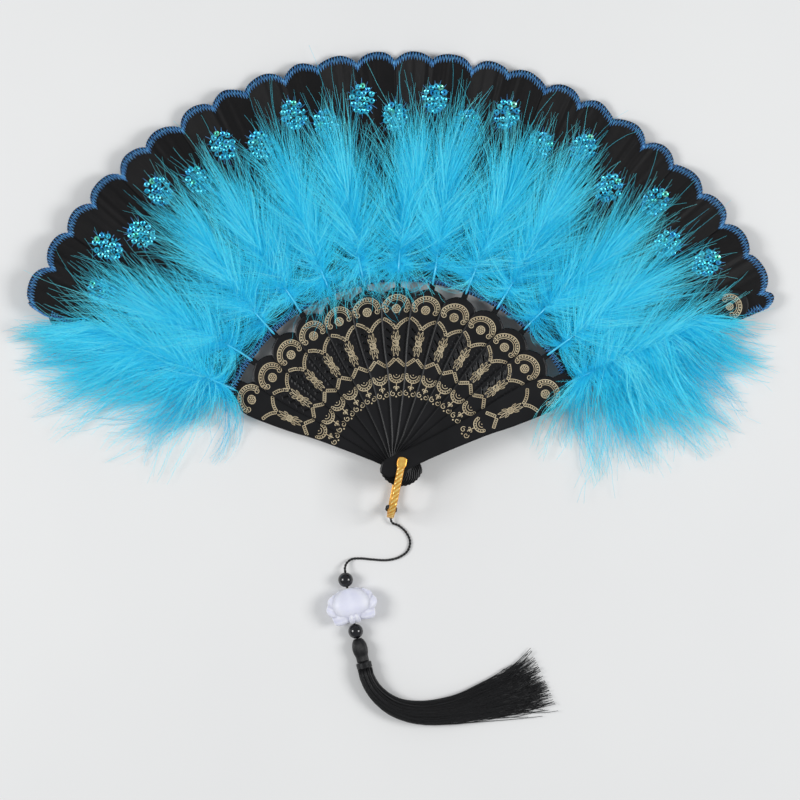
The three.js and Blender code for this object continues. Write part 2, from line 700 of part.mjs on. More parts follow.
function tasselSkirt() {
  const points = [];
  const faces = [];
  for (let row = 0; row <= SKIRT_ROWS; row++) {
    const share = row / SKIRT_ROWS;
    const middle = skirtPath.getPointAt(share);
    const way = skirtPath.getTangentAt(share);
    const across = new THREE.Vector3(-way.y, way.x, 0);
    for (let s = 0; s < SKIRT_SIDES; s++) {
      const turn = (2 * Math.PI * s) / SKIRT_SIDES;
      const lock = Math.cos(SKIRT_LOCKS * turn);
      const flute = 1 + SKIRT_FLUTE * smooth(share, 0, 0.3) * lock;
      const ragged = SKIRT_RAGGED * smooth(share, 0.8, 1) * (lock + 0.5 * Math.sin(2 * turn));
      const point = middle.clone().addScaledVector(way, ragged);
      point.addScaledVector(across, skirtHalf(share) * flute * Math.cos(turn));
      point.z = TABLE_Z + skirtRise(share) * (SKIRT_SEAT + flute * Math.sin(turn));
      points.push(...point.toArray());
    }
  }
  const at = (row, s) => row * SKIRT_SIDES + (s % SKIRT_SIDES);
  for (let row = 0; row < SKIRT_ROWS; row++) {
    for (let s = 0; s < SKIRT_SIDES; s++) {
      faces.push(at(row, s), at(row, s + 1), at(row + 1, s + 1));
      faces.push(at(row, s), at(row + 1, s + 1), at(row + 1, s));
    }
  }
  const start = points.length / 3;
  points.push(skirtStart[0], skirtStart[1], TABLE_Z + skirtRise(0) * SKIRT_SEAT);
  const end = skirtPath.getPointAt(1);
  points.push(end.x, end.y, TABLE_Z + skirtRise(1) * SKIRT_SEAT);
  for (let s = 0; s < SKIRT_SIDES; s++) {
    faces.push(start, at(0, s + 1), at(0, s), start + 1, at(SKIRT_ROWS, s), at(SKIRT_ROWS, s + 1));
  }
  const geometry = new THREE.BufferGeometry();
  geometry.setAttribute("position", new THREE.Float32BufferAttribute(points, 3));
  geometry.setIndex(faces);
  geometry.computeVertexNormals();
  return geometry;
}

addPiece(part, "tassel_skirt", tasselSkirt(), "thread");

export default part;
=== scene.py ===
"""Looks of an opened feather fan: printed sticks, stitched leaf, marabou plumes, ring and pendant.

Sizes inside the classes are millimetres. Points in the fan's own plane count from the rivet. A blade's
number runs from 0, the back guard, to 12, the front guard. The pendant lies in the row frame.
"""
import json
import logging
import math
from dataclasses import dataclass, field
from enum import Enum
from functools import cached_property
from typing import Dict, List, Optional, Sequence, Tuple, Union

import bpy
import numpy as np
from mathutils import Matrix, Vector


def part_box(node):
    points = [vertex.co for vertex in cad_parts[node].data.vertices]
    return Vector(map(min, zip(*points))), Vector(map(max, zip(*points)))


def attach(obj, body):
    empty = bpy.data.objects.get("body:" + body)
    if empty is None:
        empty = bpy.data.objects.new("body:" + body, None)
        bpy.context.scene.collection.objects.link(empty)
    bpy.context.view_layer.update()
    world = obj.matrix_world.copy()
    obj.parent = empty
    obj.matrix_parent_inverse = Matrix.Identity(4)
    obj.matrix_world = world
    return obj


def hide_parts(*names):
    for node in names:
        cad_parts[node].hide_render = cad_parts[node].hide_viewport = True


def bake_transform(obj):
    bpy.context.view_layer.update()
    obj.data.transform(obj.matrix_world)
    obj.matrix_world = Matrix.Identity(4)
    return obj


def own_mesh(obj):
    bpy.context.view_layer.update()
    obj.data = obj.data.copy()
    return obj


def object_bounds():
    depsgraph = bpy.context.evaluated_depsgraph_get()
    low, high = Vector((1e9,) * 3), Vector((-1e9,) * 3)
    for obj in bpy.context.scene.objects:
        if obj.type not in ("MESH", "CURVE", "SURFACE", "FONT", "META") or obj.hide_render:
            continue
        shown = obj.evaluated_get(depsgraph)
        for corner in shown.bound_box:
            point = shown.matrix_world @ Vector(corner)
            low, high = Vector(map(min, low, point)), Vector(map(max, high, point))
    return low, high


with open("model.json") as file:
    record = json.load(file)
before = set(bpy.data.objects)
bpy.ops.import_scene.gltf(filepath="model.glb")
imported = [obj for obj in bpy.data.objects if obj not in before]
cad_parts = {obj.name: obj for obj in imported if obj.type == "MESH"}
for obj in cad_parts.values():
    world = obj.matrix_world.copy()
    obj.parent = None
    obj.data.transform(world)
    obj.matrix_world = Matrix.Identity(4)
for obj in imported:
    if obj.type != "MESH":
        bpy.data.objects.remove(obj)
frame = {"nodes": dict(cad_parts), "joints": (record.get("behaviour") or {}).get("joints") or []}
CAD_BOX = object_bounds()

LOG = logging.getLogger("feather_fan")
MM = 0.001
BAKE_MAP = "OFBake"

Array = np.ndarray
Chance = np.random.Generator
Material = bpy.types.Material
Piece = bpy.types.Object
Pair = Tuple[float, float]
Triple = Tuple[float, float, float]
Colour = Tuple[float, float, float, float]
Key = Union[int, str]


def srgb(red: int, green: int, blue: int) -> Colour:
    """Returns an 8-bit colour as linear values with full alpha."""
    shares = [channel / 255 for channel in (red, green, blue)]
    linear = [s / 12.92 if s <= 0.04045 else ((s + 0.055) / 1.055) ** 2.4 for s in shares]
    return (linear[0], linear[1], linear[2], 1.0)


def lerp(low: Array, high: Array, share: Array) -> Array:
    """Returns the point at a share of the way from low to high."""
    return low + (high - low) * share


def ease(value: Array, low: float, high: float) -> Array:
    """Returns a smooth step from 0 at low to 1 at high."""
    share = np.clip((np.asarray(value, float) - low) / (high - low), 0.0, 1.0)
    return share * share * (3 - 2 * share)


def unit(vectors: Array) -> Array:
    """Returns vectors of length 1 along the last axis."""
    return vectors / np.maximum(np.linalg.norm(vectors, axis=-1, keepdims=True), 1e-9)


def joined(*values: Array) -> Array:
    """Returns values side by side along a new last axis."""
    return np.stack(values, axis=-1)


def shares(count: int) -> Array:
    """Returns numbers spaced evenly from 0 to 1."""
    return np.linspace(0, 1, count)


def left_of(way: Array) -> Array:
    """Returns flat directions turned a quarter to the left."""
    return joined(-way[..., 1], way[..., 0])


def turned(along: Array, across: Array, angle: float) -> Tuple[Array, Array]:
    """Returns x and y of places given along and across a direction."""
    cosine, sine = math.cos(angle), math.sin(angle)
    return along * cosine - across * sine, along * sine + across * cosine


def circle(count: int, start: float = 0.0) -> Array:
    """Returns evenly spaced angles round a circle, the first a share of a step on."""
    return 2 * np.pi * (np.arange(count) + start) / count


def polar(angle: Array, radius: Array) -> Array:
    """Returns flat points at angles and radii."""
    return joined(radius * np.cos(angle), radius * np.sin(angle))


def raised(flat: Array, height: float) -> Array:
    """Returns flat points at one height."""
    return np.column_stack([flat, np.full(len(flat), height)])


def run_of(path: Array) -> Array:
    """Returns the distance along a line of points at each of them."""
    return np.concatenate([[0], np.cumsum(np.linalg.norm(np.diff(path, axis=0), axis=1))])


def length_of(path: Array) -> float:
    """Returns the length of a line of points."""
    return float(run_of(path)[-1])


def sampled(wanted: Array, run: Array, points: Array) -> Array:
    """Returns points interpolated at the wanted places of a run."""
    return np.stack([np.interp(wanted, run, column) for column in points.T], axis=-1)


def places_on(paths: Array, share: Array) -> Tuple[Array, Array]:
    """Finds places on many paths of as many points.

    Args:
        paths: Points, shaped (paths, steps, axes).
        share: Shares of the way along each path, shaped (paths, places).

    Returns:
        The places, and the steps that they lie on.
    """
    spot = share * (paths.shape[1] - 1)
    index = np.minimum(spot.astype(int), paths.shape[1] - 2)
    which = np.arange(len(paths))[:, None]
    here, there = paths[which, index], paths[which, index + 1]
    return lerp(here, there, (spot - index)[..., None]), there - here


def corners_of(node: str) -> Array:
    """Returns the corners of a CAD node in millimetres."""
    return np.array([vertex.co for vertex in frame["nodes"][node].data.vertices]) / MM


def joint_of(name: str) -> Dict:
    """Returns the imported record's entry of one joint."""
    return next(joint for joint in frame["joints"] if joint["name"] == name)


def spline(points: Sequence[Sequence[float]], samples: int) -> Array:
    """Runs a centripetal spline through points and spaces samples evenly along it.

    Args:
        points: Points that the curve passes through.
        samples: How many points to return.

    Returns:
        Points on the curve, the first and last given points among them.
    """
    knots = np.asarray(points, float)
    ends = np.vstack([2 * knots[0] - knots[1], knots, 2 * knots[-1] - knots[-2]])
    fine = []
    for a, b, c, d in zip(ends, ends[1:], ends[2:], ends[3:]):
        gaps = [max(np.linalg.norm(q - p), 1e-6) ** 0.5 for p, q in ((a, b), (b, c), (c, d))]
        leave = ((b - a) / gaps[0] - (c - a) / (gaps[0] + gaps[1]) + (c - b) / gaps[1]) * gaps[1]
        reach = ((c - b) / gaps[1] - (d - b) / (gaps[1] + gaps[2]) + (d - c) / gaps[2]) * gaps[1]
        t = np.linspace(0, 1, 24, endpoint=False)[:, None]
        fine.append(b + leave * t + (3 * (c - b) - 2 * leave - reach) * t**2
                    + (2 * (b - c) + leave + reach) * t**3)
    curve = np.vstack(fine + [knots[-1:]])
    run = run_of(curve)
    return sampled(np.linspace(0, run[-1], samples), run, curve)


class Signal:
    """A shader socket that takes part in Python expressions."""

    def __init__(self, graph: "Graph", socket: Optional[bpy.types.NodeSocket]) -> None:
        """Wraps an output socket of a graph."""
        self.graph = graph
        self.socket = socket

    def _math(self, operation: str, first: "Term", second: "Term") -> "Signal":
        """Adds a Math node of two terms."""
        return self.graph.node("ShaderNodeMath", {"operation": operation}, {0: first, 1: second})

    def __add__(self, other: "Term") -> "Signal":
        """Adds a term."""
        return self._math("ADD", self, other)

    __radd__ = __add__

    def __sub__(self, other: "Term") -> "Signal":
        """Takes a term away."""
        return self._math("SUBTRACT", self, other)

    def __rsub__(self, other: "Term") -> "Signal":
        """Takes this signal from a number."""
        return self._math("SUBTRACT", other, self)

    def __mul__(self, other: "Term") -> "Signal":
        """Multiplies by a term."""
        return self._math("MULTIPLY", self, other)

    __rmul__ = __mul__

    def __pow__(self, other: "Term") -> "Signal":
        """Raises to a power."""
        return self._math("POWER", self, other)

    def __rpow__(self, other: "Term") -> "Signal":
        """Raises a number to this signal."""
        return self._math("POWER", other, self)


Term = Union[Signal, float]
Input = Union[Signal, float, Sequence[float]]


class Graph:
    """The node tree of one material."""

    def __init__(self, name: str) -> None:
        """Starts an empty tree under a material's name."""
        self.material = bpy.data.materials.new(name)
        self.material.use_nodes = True
        self.tree = self.material.node_tree
        self.tree.nodes.clear()

    def node(self, kind: str, settings: Optional[Dict] = None, inputs: Optional[Dict[Key, Input]] = None,
             out: Key = 0) -> Signal:
        """Adds any node.

        Args:
            kind: The node's type.
            settings: Its own properties, set first; "stops" fills a colour ramp.
            inputs: Values or links of its sockets.
            out: The output to return.

        Returns:
            The wanted output socket.
        """
        node = self.tree.nodes.new(kind)
        for key, value in (settings or {}).items():
            if key == "stops":
                self._fill_ramp(node.color_ramp, value)
            else:
                setattr(node, key, value)
        for key, value in (inputs or {}).items():
            if isinstance(value, Signal):
                self.tree.links.new(value.socket, node.inputs[key])
            else:
                node.inputs[key].default_value = value
        return Signal(self, node.outputs[out] if node.outputs else None)

    @staticmethod
    def _fill_ramp(ramp: bpy.types.ColorRamp, stops: Sequence[Tuple[float, Colour]]) -> None:
        """Sets a ramp's stops from positions and colours."""
        while len(ramp.elements) < len(stops):
            ramp.elements.new(1.0)
        for element, (position, colour) in zip(ramp.elements, stops):
            element.position = position
            element.color = colour

    def place(self) -> Signal:
        """Returns the row frame's coordinates of the surface point."""
        return self.node("ShaderNodeTexCoord", out="Object")

    def noise(self, scale: float, detail: float) -> Signal:
        """Returns a noise from 0 to 1 over the surface, with scale in features per metre."""
        inputs = {"Vector": self.place(), "Scale": scale, "Detail": detail}
        return self.node("ShaderNodeTexNoise", inputs=inputs)

    def ramp(self, factor: Signal, stops: Sequence[Tuple[float, Colour]]) -> Signal:
        """Returns the colour of a ramp at a factor."""
        return self.node("ShaderNodeValToRGB", {"stops": stops}, {0: factor})

    def blend(self, factor: Input, first: Input, second: Input) -> Signal:
        """Returns a mix of two colours."""
        return self.node("ShaderNodeMix", {"data_type": "RGBA"}, {0: factor, 6: first, 7: second}, 2)

    def bump(self, height: Signal, distance: float, strength: float, normal: Optional[Signal] = None) -> Signal:
        """Raises a surface.

        Args:
            height: Height from 0 to 1.
            distance: What a height of 1 stands for, in metres.
            strength: Share of the effect.
            normal: The normal that it starts from, where it isn't the surface's own.

        Returns:
            The new normal.
        """
        inputs: Dict[Key, Input] = {"Strength": strength, "Distance": distance, "Height": height}
        if normal is not None:
            inputs["Normal"] = normal
        return self.node("ShaderNodeBump", inputs=inputs)

    def finish(self, surface: Signal) -> Material:
        """Connects the surface and returns the material."""
        self.node("ShaderNodeOutputMaterial", inputs={"Surface": surface})
        return self.material

    def surface(self, inputs: Dict[Key, Input]) -> Material:
        """Returns the material with a principled surface."""
        return self.finish(self.node("ShaderNodeBsdfPrincipled", inputs=inputs))


@dataclass(frozen=True)
class LacquerFinish:
    """Half-gloss black moulded plastic with handling marks and softened edges."""

    colour: Colour = srgb(13, 13, 15)
    rubbed: Colour = srgb(25, 25, 28)
    edge_radius: float = 0.00022

    def material(self) -> Material:
        """Builds the material."""
        graph = Graph("lacquer")
        smear = graph.noise(60.0, 4.0)
        grain = graph.noise(2600.0, 2.0)
        edge = graph.node("ShaderNodeBevel", {"samples": 4}, {"Radius": self.edge_radius})
        return graph.surface({
            "Base Color": graph.blend(smear**3.0, self.colour, self.rubbed),
            "Roughness": 0.27 + 0.16 * smear + 0.05 * grain,
            "Specular IOR Level": 0.27,
            "Normal": graph.bump(grain, 0.00004, 0.35, edge),
        })


@dataclass(frozen=True)
class FoilPrintFinish:
    """Pale gold foil, hot-stamped, rubbed through in specks."""

    bright: Colour = srgb(238, 224, 190)
    wear_and_painted_light: Colour = srgb(156, 132, 96)

    def material(self) -> Material:
        """Builds the material."""
        graph = Graph("gold_print")
        wear = graph.noise(1500.0, 5.0)
        patch = graph.noise(160.0, 2.0)
        return graph.surface({
            "Base Color": graph.blend(wear * patch * 1.7, self.bright, self.wear_and_painted_light),
            "Metallic": 0.4,
            "Roughness": 0.3 + 0.3 * wear,
            "Normal": graph.bump(wear, 0.00003, 0.5),
        })


@dataclass(frozen=True)
class GiltFinish:
    """Bright gilt metal with a painted highlight on its ridges and painted shade in its grooves and hollows,
    set by how pointed the surface is.
    """

    bright: Colour = srgb(255, 214, 112)
    groove_shade: Colour = srgb(230, 156, 56)
    ridge: Colour = srgb(255, 240, 178)
    hollow: Colour = srgb(132, 66, 12)

    def material(self) -> Material:
        """Builds the material."""
        graph = Graph("gilt")
        patch = graph.noise(420.0, 4.0)
        scratch = graph.noise(2200.0, 3.0)
        # Painted highlight and shade: the mask is the surface's pointiness, so the colour runs from dark in the
        # rope's grooves and hollows to pale on its ridges, standing in for light on the chased metal; the small
        # noise added to it is random tone.
        wear_and_painted_light = graph.node("ShaderNodeNewGeometry", out="Pointiness") + 0.06 * (patch - 0.5)
        stops = [(0.42, self.hollow), (0.475, self.groove_shade), (0.51, self.bright), (0.55, self.ridge)]
        return graph.surface({
            "Base Color": graph.ramp(wear_and_painted_light, stops),
            "Metallic": 0.6,
            "Roughness": 0.24 + 0.3 * scratch * patch,
            "Normal": graph.bump(scratch, 0.00003, 0.4),
        })


@dataclass(frozen=True)
class SteelFinish:
    """Dark blued steel of the rivet, turned and slightly brushed."""

    colour: Colour = srgb(62, 62, 68)
    wear_and_painted_light: Colour = srgb(120, 120, 126)

    def material(self) -> Material:
        """Builds the material."""
        graph = Graph("rivet_steel")
        brush = graph.noise(1800.0, 4.0)
        return graph.surface({
            "Base Color": graph.blend(brush**3.0, self.colour, self.wear_and_painted_light),
            "Metallic": 0.85,
            "Roughness": 0.24 + 0.2 * brush,
            "Normal": graph.bump(brush, 0.00002, 0.4),
        })


@dataclass(frozen=True)
class SatinFinish:
    """Thin black satin with a fine diagonal weave and soft creases, with a painted sheen on the raised creases.
    """

    colour: Colour = srgb(9, 9, 10)
    shine: Colour = srgb(26, 23, 24)
    weave_scale: float = 2600.0

    def material(self) -> Material:
        """Builds the material."""
        graph = Graph("black_satin")
        settings = {"wave_type": "BANDS", "bands_direction": "DIAGONAL"}
        inputs = {"Vector": graph.place(), "Scale": self.weave_scale, "Distortion": 0.6}
        weave = graph.node("ShaderNodeTexWave", settings, inputs, "Fac")
        crease = graph.noise(95.0, 5.0)
        slub = graph.noise(900.0, 2.0)
        lift = 0.25 * weave + 0.75 * crease
        return graph.surface({
            # Painted sheen: the colour lightens towards shine where the creases rise.
            "Base Color": graph.blend(crease * slub, self.colour, self.shine),
            "Roughness": 0.36 + 0.2 * slub,
            "Specular IOR Level": 0.19,
            "Sheen Weight": 0.03,
            "Sheen Roughness": 0.35,
            "Normal": graph.bump(lift, 0.0006, 0.3),
        })


@dataclass(frozen=True)
class StitchFinish:
    """Lustrous blue embroidery thread."""

    light: Colour = srgb(122, 196, 240)
    middle: Colour = srgb(54, 134, 200)
    dark: Colour = srgb(26, 76, 136)

    def material(self) -> Material:
        """Builds the material."""
        graph = Graph("blue_stitching")
        tone = graph.noise(700.0, 3.0)
        stops = [(0.25, self.dark), (0.5, self.middle), (0.78, self.light)]
        return graph.surface({
            "Base Color": graph.ramp(tone, stops),
            "Roughness": 0.3 + 0.25 * tone,
            "Sheen Weight": 0.3,
            "Normal": graph.bump(graph.noise(5200.0, 1.0), 0.00008, 0.5),
        })


@dataclass(frozen=True)
class SequinFinish:
    """Iridescent ring sequins, each with a tone of its own; a near-white stop paints glints on some of them."""

    stops: Tuple[Tuple[float, Colour], ...] = (
        (0.0, srgb(26, 122, 176)),
        (0.28, srgb(56, 192, 226)),
        (0.5, srgb(104, 224, 238)),
        (0.66, srgb(56, 162, 228)),
        (0.8, srgb(84, 224, 184)),
        # Painted glint: this near-white stop gives some sequins a colour that stands in for a reflected
        # highlight.
        (0.92, srgb(236, 250, 252)),
    )

    def material(self) -> Material:
        """Builds the material."""
        graph = Graph("sequin_foil")
        island = graph.node("ShaderNodeNewGeometry", out="Random Per Island")
        sheen = graph.noise(500.0, 2.0)
        return graph.surface({
            "Base Color": graph.ramp(0.65 * island + 0.35 * sheen, self.stops),
            "Metallic": 0.6,
            "Roughness": 0.12 + 0.14 * sheen,
            "Normal": graph.bump(graph.noise(3000.0, 2.0), 0.00003, 0.4),
        })


@dataclass(frozen=True)
class MarabouFinish:
    """Dyed marabou: each barb has its tone, darker towards its root and paler towards its tip. The tone also
    rises with the barb's height, a painted shade on low barbs and a painted highlight on high ones, and the
    fluff glows faintly in its own colour, painted light that brightens it all over.
    """

    root: Colour = srgb(40, 226, 255)
    body: Colour = srgb(64, 238, 255)
    tip: Colour = srgb(126, 248, 255)
    deep: Colour = srgb(4, 120, 196)
    pale: Colour = srgb(162, 254, 255)
    glow: Colour = srgb(76, 242, 255)
    painted_glow: Colour = srgb(36, 224, 250)
    painted_glow_strength: float = 0.18
    see_through: float = 0.45

    def material(self) -> Material:
        """Builds the material; the strands' own map gives tone across and place along."""
        graph = Graph("marabou")
        strand = graph.node("ShaderNodeUVMap", {"uv_map": BAKE_MAP})
        tone = graph.node("ShaderNodeSeparateXYZ", inputs={0: strand}, out="X")
        along = graph.node("ShaderNodeSeparateXYZ", inputs={0: strand}, out="Y")
        dyed = graph.ramp(along, [(0.0, self.root), (0.3, self.body), (1.0, self.tip)])
        speckle = graph.node("ShaderNodeTexWhiteNoise", {"noise_dimensions": "1D"}, {"W": tone}, "Value")
        # Painted highlight and shade: tone rises with a barb's height (see _headings), so barbs on top blend
        # towards pale and barbs lying low towards deep.
        lit = graph.blend(tone**3.0, dyed, self.pale)
        soft = graph.node("ShaderNodeBsdfPrincipled", inputs={
            "Base Color": graph.blend((1.0 - tone)**2.0 * (1.0 - 0.5 * along), lit, self.deep),
            "Roughness": 0.48 + 0.2 * speckle,
            "Sheen Weight": 0.1,
            "Specular IOR Level": 0.35,
            # Painted glow: the barbs emit a little of their own colour, though they are no lamp, which
            # brightens the whole fluff as light bouncing between them would.
            "Emission Color": self.painted_glow,
            "Emission Strength": self.painted_glow_strength,
        })
        through = graph.node("ShaderNodeBsdfTranslucent", inputs={"Color": self.glow})
        mixed = graph.node("ShaderNodeMixShader", inputs={0: self.see_through, 1: soft, 2: through})
        return graph.finish(mixed)


@dataclass(frozen=True)
class QuillFinish:
    """Shiny dyed quill, paler than the barbs."""

    light: Colour = srgb(92, 224, 252)
    dyed: Colour = srgb(34, 178, 226)

    def material(self) -> Material:
        """Builds the material."""
        graph = Graph("quill")
        streak = graph.noise(380.0, 3.0)
        return graph.surface({
            "Base Color": graph.blend(streak, self.light, self.dyed),
            "Roughness": 0.2 + 0.15 * streak,
            "Coat Weight": 0.3,
            "Normal": graph.bump(streak, 0.00005, 0.4),
        })


@dataclass(frozen=True)
class ThreadFinish:
    """Silky black thread of the cord and tassel, with a painted sheen along its strands."""

    colour: Colour = srgb(7, 7, 8)
    gloss: Colour = srgb(30, 30, 34)

    def material(self) -> Material:
        """Builds the material."""
        graph = Graph("black_thread")
        strand = graph.noise(1400.0, 4.0)
        return graph.surface({
            # Painted sheen: strands blend towards the paler gloss colour, standing in for the threads' shine.
            "Base Color": graph.blend(strand**2.2, self.colour, self.gloss),
            "Roughness": 0.3 + 0.2 * strand,
            "Specular IOR Level": 0.4,
            "Sheen Weight": 0.05,
            "Normal": graph.bump(strand, 0.0001, 0.5),
        })


@dataclass(frozen=True)
class BeadFinish:
    """Polished black glass with faint pits."""

    colour: Colour = srgb(10, 10, 12)
    cloud: Colour = srgb(26, 26, 32)

    def material(self) -> Material:
        """Builds the material."""
        graph = Graph("black_glass")
        cloud = graph.noise(300.0, 3.0)
        return graph.surface({
            "Base Color": graph.blend(cloud, self.colour, self.cloud),
            "Roughness": 0.04 + 0.06 * cloud,
            "Specular IOR Level": 0.36,
            "Coat Weight": 0.45,
            "Coat Roughness": 0.03,
            "Normal": graph.bump(graph.noise(1500.0, 2.0), 0.00002, 0.3),
        })


@dataclass(frozen=True)
class FrostedFinish:
    """Frosted lavender-white resin of the carved bead, with a painted highlight along the petals' edges and
    painted shade in the carved hollows, set by how pointed the surface is.
    """

    edge: Colour = srgb(246, 247, 254)
    pale: Colour = srgb(228, 229, 246)
    shade: Colour = srgb(212, 213, 238)
    carved: Colour = srgb(176, 177, 214)

    def material(self) -> Material:
        """Builds the material."""
        graph = Graph("frosted_resin")
        cloud = graph.noise(170.0, 4.0)
        frost = graph.noise(3600.0, 2.0)
        # Painted highlight and shade: pointiness makes the petals' edges palest and the carved hollows darkest.
        rise = graph.node("ShaderNodeNewGeometry", out="Pointiness") + 0.05 * (cloud - 0.5)
        stops = [(0.4, self.carved), (0.485, self.shade), (0.525, self.pale), (0.6, self.edge)]
        return graph.surface({
            "Base Color": graph.ramp(rise, stops),
            "Roughness": 0.36 + 0.16 * frost,
            "Subsurface Weight": 0.25,
            "Subsurface Radius": (0.004, 0.004, 0.005),
            "Subsurface Scale": 1.0,
            "Normal": graph.bump(frost, 0.00005, 0.4),
        })


@dataclass(frozen=True)
class FloorFinish:
    """Pale matt studio floor."""

    colour: Colour = srgb(232, 232, 231)
    mottle: Colour = srgb(226, 226, 226)

    def material(self) -> Material:
        """Builds the material."""
        graph = Graph("pale_floor")
        cloud = graph.noise(7.0, 3.0)
        return graph.surface({
            "Base Color": graph.blend(cloud, self.colour, self.mottle),
            "Roughness": 0.85 + 0.1 * cloud,
            "Specular IOR Level": 0.2,
        })


class Finish(Enum):
    """The finishes of the fan, one material each."""

    LACQUER = LacquerFinish()
    PRINT = FoilPrintFinish()
    GILT = GiltFinish()
    STEEL = SteelFinish()
    SATIN = SatinFinish()
    STITCH = StitchFinish()
    SEQUIN = SequinFinish()
    MARABOU = MarabouFinish()
    QUILL = QuillFinish()
    THREAD = ThreadFinish()
    BEAD = BeadFinish()
    FROSTED = FrostedFinish()
    FLOOR = FloorFinish()

    @cached_property
    def material(self) -> Material:
        """Its material, made at first use."""
        return self.value.material()


class Draft:
    """Vertices and faces gathered for one mesh piece, in millimetres.

    TONES is the number of columns in the strands' map, and MARGIN the share of a column left free at each edge.
    """

    TONES = 64
    MARGIN = 0.2

    def __init__(self, keeps_map: bool = False) -> None:
        """Starts empty; keeps_map stores the strands' texture coordinates with the mesh."""
        self.keeps_map = keeps_map
        self._points: List[Array] = []
        self._loops: List[Array] = []
        self._sizes: List[Array] = []
        self._slots: List[Array] = []
        self._maps: List[Array] = []
        self._count = 0

    def add(self, points: Array, faces: Array, slot: int = 0,
            strand_map: Optional[Array] = None) -> None:
        """Adds faces of one corner count.

        Args:
            points: Points, three numbers each.
            faces: Point numbers, one row a face.
            slot: Material slot of these faces.
            strand_map: Two texture coordinates for each corner.
        """
        points = np.asarray(points, float).reshape(-1, 3)
        faces = np.asarray(faces, np.int64)
        self._points.append(points)
        corners = np.zeros((faces.size, 2)) if strand_map is None else strand_map
        self._join(faces + self._count, slot, corners)
        self._count += len(points)

    def _join(self, faces: Array, slot: int, strand_map: Array) -> None:
        """Adds faces on points that are there already."""
        self._loops.append(faces.ravel())
        self._sizes.append(np.full(len(faces), faces.shape[1]))
        self._slots.append(np.full(len(faces), slot))
        self._maps.append(strand_map.reshape(-1, 2))

    def grid(self, points: Array, closed: bool = False) -> None:
        """Adds a sheet of quads; closed joins its last column to its first."""
        index = np.arange(points[..., 0].size).reshape(points.shape[:2])
        if closed:
            index = np.hstack([index, index[:, :1]])
        self.add(points, self._quads(index))

    @staticmethod
    def _quads(index: Array) -> Array:
        """Returns the quads between neighbours in a grid of point numbers."""
        corners = [index[:-1, :-1], index[:-1, 1:], index[1:, 1:], index[1:, :-1]]
        return np.stack(corners, axis=-1).reshape(-1, 4)

    def slab(self, top: Array, bottom: Array) -> None:
        """Adds a closed sheet.

        Args:
            top: Grid of points on its face.
            bottom: The same grid on its back.
        """
        size = top[..., 0].size
        upper = np.arange(size).reshape(top.shape[:2])
        ring = np.concatenate([upper[0, :-1], upper[:-1, -1], upper[-1, :0:-1], upper[:0:-1, 0]])
        after = np.roll(ring, -1)
        deck = self._quads(upper)
        keel = (deck + size)[:, [0, 3, 2, 1]]
        wall = joined(ring, ring + size, after + size, after)
        self.add(np.concatenate([top.reshape(-1, 3), bottom.reshape(-1, 3)]), np.vstack([deck, keel, wall]))

    def tubes(self, paths: Array, radii: Union[float, Array], sides: int, slot: int = 0,
              tones: Optional[Array] = None) -> None:
        """Adds one closed tube along each path.

        Args:
            paths: Points, shaped (tubes, steps, 3).
            radii: One radius, or radii that fit the shape (tubes, steps).
            sides: Corners of a tube's section.
            slot: Material slot.
            tones: A share from 0 to 1 for each tube, which picks its column in the strands' map.
        """
        count, steps = paths.shape[:2]
        way = unit(np.gradient(paths, axis=1))
        is_steep = np.abs(way[..., 2]).mean(axis=1) > 0.8
        upright = np.where(is_steep[:, None, None], [1.0, 0.0, 0.0], [0.0, 0.0, 1.0])
        across = unit(np.cross(way, upright))
        rise = np.cross(across, way)
        turn = circle(sides)
        reach = np.broadcast_to(radii, (count, steps))[..., None, None]
        section = across[:, :, None] * np.cos(turn)[:, None] + rise[:, :, None] * np.sin(turn)[:, None]
        points = paths[:, :, None] + section * reach
        index = np.arange(count * steps * sides).reshape(count, steps, sides)
        following = np.roll(index, -1, axis=2)
        walls = joined(index[:, :-1], index[:, 1:], following[:, 1:], following[:, :-1])
        column = np.zeros(count) if tones is None else np.floor(tones * (self.TONES - 1))
        used = 1 - 2 * self.MARGIN
        left = (column[:, None, None] + self.MARGIN + used * np.arange(sides) / sides) / self.TONES
        right = left + used / sides / self.TONES
        u = joined(left, left, right, right)
        v = (np.arange(steps - 1)[:, None, None] + [0, 1, 1, 0]) / (steps - 1)
        base = self._count
        self.add(points, walls.reshape(-1, 4), slot, joined(*np.broadcast_arrays(u, v)))
        for step, order, edge, inset in ((0, 1, 0.0, 0.03), (-1, -1, 1.0, 0.97)):
            v = np.where(np.arange(sides) == 0, inset, edge)
            self._join(index[:, step, ::order] + base, slot, joined(*np.broadcast_arrays(left[:, 0], v)))

    def slivers(self, triangles: Array, tones: Array, along: Array) -> None:
        """Adds single triangles for barbules.

        Args:
            triangles: Corners, shaped (slivers, 3, 3), the tip last.
            tones: A share from 0 to 1 for each sliver.
            along: Place along its barb, from 0 to 1, for each sliver.
        """
        column = np.floor(tones * (self.TONES - 1))[:, None]
        u = (column + np.array([self.MARGIN, 1 - self.MARGIN, 0.5])) / self.TONES
        v = np.clip(along[:, None] + np.array([0.0, 0.0, 0.12]), 0, 1)
        faces = np.arange(len(triangles) * 3).reshape(-1, 3)
        self.add(triangles, faces, strand_map=joined(u, v))

    @staticmethod
    def lathe(profile: Sequence[Pair], segments: int) -> Array:
        """Returns a ring-by-ring grid turned about the first axis, for placing before it is added.

        Args:
            profile: Radius and place along the axis, from the start to the end.
            segments: Corners round the axis.

        Returns:
            Points shaped (profile, segments, 3).
        """
        radius, along = np.asarray(profile, float).T
        ring = polar(circle(segments), radius[:, None])
        return np.concatenate([np.broadcast_to(along[:, None, None], ring.shape[:2] + (1,)), ring], axis=-1)

